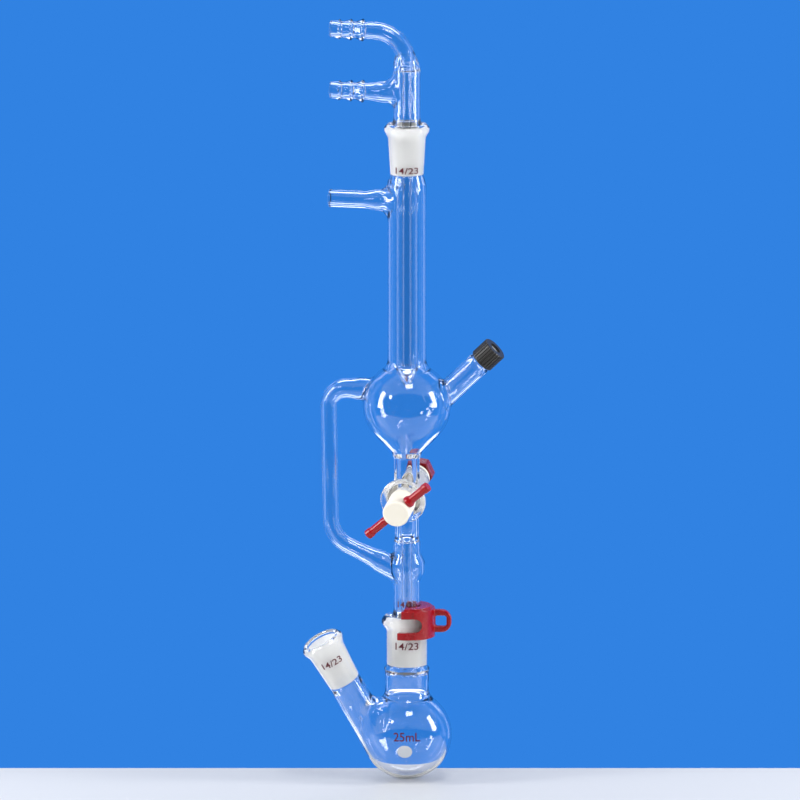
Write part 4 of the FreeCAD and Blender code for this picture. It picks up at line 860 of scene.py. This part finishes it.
# %% [markdown]
# ## Plastics and rubber
#
# The clip is moulded acetal, a stiff springy plastic with a waxy gloss. The stopcock's handle and nut are
# moulded polypropylene of one red; the nut takes a darker copy of that red, which is painted shade. The plug
# is turned from a bar of PTFE, which is white with a hint of cream, never shiny, and keeps the fine rings of
# the lathe. The sealing ring is black nitrile rubber.
# The cap is moulded from black phenolic, half matt, and the septum under it is grey silicone. Each takes a
# weak grain in its surface, a slow change of colour, and a roughness that isn't even, as on a piece that
# fingers have held.

# %% Plastics
DRIFT = 7            # the size in mm of the colour's slow changes
HANDLED = 2.2        # and of the changes in roughness,
SMOOTHER = 0.8       # which runs from this share of its value
ROUGHER = 1.25       # to this one
PTFE_CLOUD = 4


def moulded(name, colours, roughness, grain, depth, ior=1.49):
    """Colours are two hex values that the surface drifts between; grain and depth are in mm."""
    material, tree, output = new_material(name)
    place = add_node(tree, "ShaderNodeTexCoord").outputs["Object"]
    colour = mixed(tree, cloudy(tree, place, DRIFT, 3.0), linear(colours[0]), linear(colours[1]))
    rough = add_node(tree, "ShaderNodeMapRange", Value=cloudy(tree, place, HANDLED, 4.0),
                     _3=roughness * SMOOTHER, _4=roughness * ROUGHER)
    fine = cloudy(tree, place, grain, 2.0)
    bump = add_node(tree, "ShaderNodeBump", Height=fine, Strength=0.5, Distance=depth * MM)
    put_skin(tree, output, Base_Color=colour, Roughness=rough.outputs[0], IOR=ior, Normal=bump.outputs[0])
    return material


def turned_ptfe(name, way, ring):
    """PTFE from the lathe: rings at an even feed along its axis, drawn as coarse as they need to show."""
    material, tree, output = new_material(name)
    place = add_node(tree, "ShaderNodeTexCoord").outputs["Object"]
    along = add_node(tree, "ShaderNodeVectorMath", {"operation": "DOT_PRODUCT"}, _0=place, _1=tuple(way))
    turns = calculate(tree, "MULTIPLY", along.outputs["Value"], 2 * math.pi * 1000 / ring)
    bump = add_node(tree, "ShaderNodeBump", Height=calculate(tree, "SINE", turns), Strength=0.35,
                    Distance=0.012 * MM)
    colour = mixed(tree, cloudy(tree, place, PTFE_CLOUD, 3.0), linear("#F5EFE3"), linear("#F0E9DA"))
    put_skin(tree, output, Base_Color=colour, Roughness=0.46, IOR=1.35, Normal=bump.outputs[0])
    return material


# Two colours, roughness, the grain's size and depth, and an index of refraction where it isn't 1.49.
acetal_red = moulded("acetal_red", ("#9C0812", "#8C0710"), 0.26, 0.35, 0.02)
polypropylene_red = moulded("polypropylene_red", ("#A60A14", "#940812"), 0.24, 0.3, 0.015)
# The nut's material is the handle's red made darker: painted shade for the shade that the nut sits in.
polypropylene_red_painted_shade = moulded("polypropylene_red_painted_shade", ("#8A0713", "#780610"), 0.26, 0.3, 0.015)
ptfe = turned_ptfe("ptfe_turned", cock_way, 0.45)
nitrile_black = moulded("nitrile_black", ("#191A1C", "#202124"), 0.5, 0.3, 0.02, 1.52)
phenolic_black = moulded("phenolic_black", ("#201F1E", "#2F2C29"), 0.45, 0.28, 0.04, 1.6)
silicone_grey = moulded("silicone_grey", ("#8F9296", "#A3A5A7"), 0.48, 0.4, 0.03, 1.41)

for node, material in (("stopcock_plug", ptfe), ("stopcock_washer", ptfe), ("stopcock_o_ring", nitrile_black),
                       ("port_cap", phenolic_black), ("port_septum", silicone_grey)):
    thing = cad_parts[node]
    thing.data.materials.clear()
    thing.data.materials.append(material)
    print(node, "is", material.name)

# %% [markdown]
# ## Softened corners
#
# A moulded piece has no sharp corner: the mould is rounded so that the piece can leave it. The clip, the
# handle and the nut are copied from the CAD, rebuilt on a grid of small cubes, smoothed, and thinned out
# again. That rounds every corner by about a third of a millimetre and leaves the sizes as they were.

# %% Softened copies
def softened(name, node, body, material, grid, passes, keep):
    """A copy of a CAD node with its corners rounded. grid is in mm, and keep is the share of faces left."""
    thing = add_object(name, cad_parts[node].data.copy())
    rebuilt = thing.modifiers.new("grid", "REMESH")
    rebuilt.mode = "VOXEL"
    rebuilt.voxel_size = grid * MM
    rounded = thing.modifiers.new("round", "SMOOTH")
    rounded.factor = 0.5
    rounded.iterations = passes
    thinned = thing.modifiers.new("thin", "DECIMATE")
    thinned.ratio = keep
    mesh = plain_mesh(thing)
    thing.modifiers.clear()
    thing.data = mesh
    mesh.materials.clear()
    mesh.materials.append(material)
    mesh.shade_smooth()
    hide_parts(node)
    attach(thing, body)
    print(name, "faces", len(mesh.polygons))


# Grid, rounds of smoothing, share of faces left.
softened("clip", "joint_clip", "joint_clip", acetal_red, 0.16, 5, 0.3)
softened("handle", "stopcock_handle", "stopcock", polypropylene_red, 0.12, 3, 0.35)
# The nut takes the darker copy of the handle's red, which is painted shade.
softened("nut", "stopcock_nut", "stopcock_nut", polypropylene_red_painted_shade, 0.12, 4, 0.35)

# %% Thread on the stopcock's shank
shank_thread = thread("shank_thread", ptfe, cock_foot - cock_way * 19.4, -cock_way,
                      radius=2.72, pitch=1.25, turns=6.6, ridge=0.36)
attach(shank_thread, "stopcock")

# %% [markdown]
# ## Printed marks
#
# Each ground joint is marked with its size, and the flask with its volume and a white spot to write on. The
# marks are enamel, fired onto the glass: thin, opaque and slightly rough. Letters are made flat by Blender's
# text, cut into small faces, and then laid round the glass point by point, a few hundredths of a millimetre
# proud of it. The maker's own lines on the real one are left off.

# %% Enamel
enamel_red = moulded("enamel_red", ("#5A0C20", "#681226"), 0.5, 0.2, 0.01)
enamel_white = moulded("enamel_white", ("#C4C9D2", "#CED2DA"), 0.55, 0.2, 0.01)
PROUD = 0.05         # where a mark's outer and inner face lie from the glass, in mm
SUNK = -0.03
CAPITAL = 0.69       # a figure's height for a type size of 1
BOLDER = 0.012
DEEP = 0.5           # half a letter's depth before it is laid on the glass
SHORT = 0.8          # the longest edge of a letter's face, in mm,
CUTS = 4             # after so many rounds of cutting
LEVEL = 0.1          # an edge with less rise than this isn't one through the letter's depth


def round_tube(foot, way, radius, along, toward):
    """Lays (across, up, out) on a tube's wall, centred where the tube faces toward."""
    facing = (toward - way * toward.dot(way)).normalized()
    right = way.cross(facing).normalized()

    def lay(across, up, out):
        angle = across / radius(along + up)
        spoke = facing * math.cos(angle) + right * math.sin(angle)
        return foot + way * (along + up) + spoke * (radius(along + up) + out)
    return lay


def round_ball(middle, radius, rise, toward):
    """Lays (across, up, out) on a ball, centred at a height angle in degrees and a level direction."""
    centre = toward * math.cos(math.radians(rise)) + UP * math.sin(math.radians(rise))
    right = UP.cross(toward).normalized()
    high = centre.cross(right).normalized()

    def lay(across, up, out):
        reach = math.hypot(across, up) or 1e-9
        angle = reach / radius
        side = (right * across + high * up) / reach
        return middle + (centre * math.cos(angle) + side * math.sin(angle)) * (radius + out)
    return lay


def printed(name, text, high, wide, lay, body):
    """Letters of a height and an overall width in mm, laid on a wall."""
    letters = bpy.data.curves.new(name, "FONT")
    letters.body = text
    letters.size = high / CAPITAL
    letters.offset = BOLDER * high
    letters.extrude = DEEP
    letters.align_x = "CENTER"
    thing = add_object(name, letters)
    mesh = plain_mesh(thing)
    bpy.data.objects.remove(thing)
    shape = bmesh.new()
    shape.from_mesh(mesh)
    bmesh.ops.remove_doubles(shape, verts=shape.verts, dist=0.0001)
    bmesh.ops.triangulate(shape, faces=shape.faces)
    for _ in range(CUTS):
        long_edges = [edge for edge in shape.edges if edge.calc_length() > SHORT and
                      abs(edge.verts[0].co.z - edge.verts[1].co.z) < LEVEL]
        if not long_edges:
            break
        bmesh.ops.subdivide_edges(shape, edges=long_edges, cuts=1, use_grid_fill=False)
        bmesh.ops.triangulate(shape, faces=shape.faces)
    across = [vertex.co.x for vertex in shape.verts]
    stretch = wide / (max(across) - min(across))
    middle = (max(across) + min(across)) / 2
    for vertex in shape.verts:
        out = PROUD if vertex.co.z > 0 else SUNK
        vertex.co = lay((vertex.co.x - middle) * stretch, vertex.co.y - high / 2, out) * MM
    enamelled(name, shape, enamel_red, body)


def enamelled(name, shape, material, body):
    """Closes and checks a mark's mesh, and puts it on its piece."""
    face_outwards(shape)
    open_edges = sum(not edge.is_manifold for edge in shape.edges)
    mesh = bpy.data.meshes.new(name)
    shape.to_mesh(mesh)
    shape.free()
    mesh.materials.append(material)
    thing = add_object(name, mesh)
    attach(thing, body)
    print(name, "faces", len(mesh.polygons), "open edges", open_edges)


def outside_of(radius, low=0, growth=0, length=1):
    """A neck's outside, which may open evenly from its lower end: the radius at a place along it."""
    return lambda along: radius + (along - low) * growth / length


level_eye = Vector((eye_back.x, eye_back.y, 0)).normalized()
for name, high, wide, foot, way, outside, along, piece in (
        ("mark_flask_neck", 3.1, 10.9, Vector(), UP, outside_of(FLASK_NECK), 62.3, "flask"),
        ("mark_side_neck", 2.9, 10.0, side_foot, side_way, outside_of(7.3, 30.1, 1.15, 17.7), 43.6, "flask"),
        ("mark_top", 2.8, 11.0, Vector(), UP, outside_of(7.58, 277, 1, 17.3), 280.1, "receiver"),
        ("mark_stem", 2.7, 9.0, Vector(), UP, outside_of(STEM), 80.9, "receiver")):
    on_neck = round_tube(foot, way, outside, along, level_eye)
    printed(name, "14/23", high, wide, on_neck, piece)
on_ball = round_ball(UP * BALL, BALL, 7.5, level_eye)
printed("mark_volume", "25mL", 3.9, 12.2, on_ball, "flask")

# %% Writing spot
SPOT_WIDE, SPOT_HIGH = 3.4, 3.0
SPOT_STEPS, SPOT_RINGS = 48, 6
spot_lay = round_ball(UP * BALL, BALL, -12, (level_eye - eye_right * 0.05).normalized())
spot = bmesh.new()
rims = []
for out in (PROUD, SUNK):
    rings = []
    for k in range(1, SPOT_RINGS + 1):
        wide, high = SPOT_WIDE * k / SPOT_RINGS, SPOT_HIGH * k / SPOT_RINGS
        turns = [2 * math.pi * j / SPOT_STEPS for j in range(SPOT_STEPS)]
        rings.append([spot.verts.new(spot_lay(wide * math.cos(turn), high * math.sin(turn), out) * MM)
                      for turn in turns])
    tip = spot.verts.new(spot_lay(0, 0, out) * MM)
    for j in range(SPOT_STEPS):
        spot.faces.new((tip, rings[0][j - 1], rings[0][j]))
        for inner, outer in zip(rings, rings[1:]):
            spot.faces.new((inner[j - 1], inner[j], outer[j], outer[j - 1]))
    rims.append(rings[-1])
front, back = rims
for j in range(SPOT_STEPS):
    spot.faces.new((front[j - 1], front[j], back[j], back[j - 1]))
enamelled("writing_spot", spot, enamel_white, "flask")
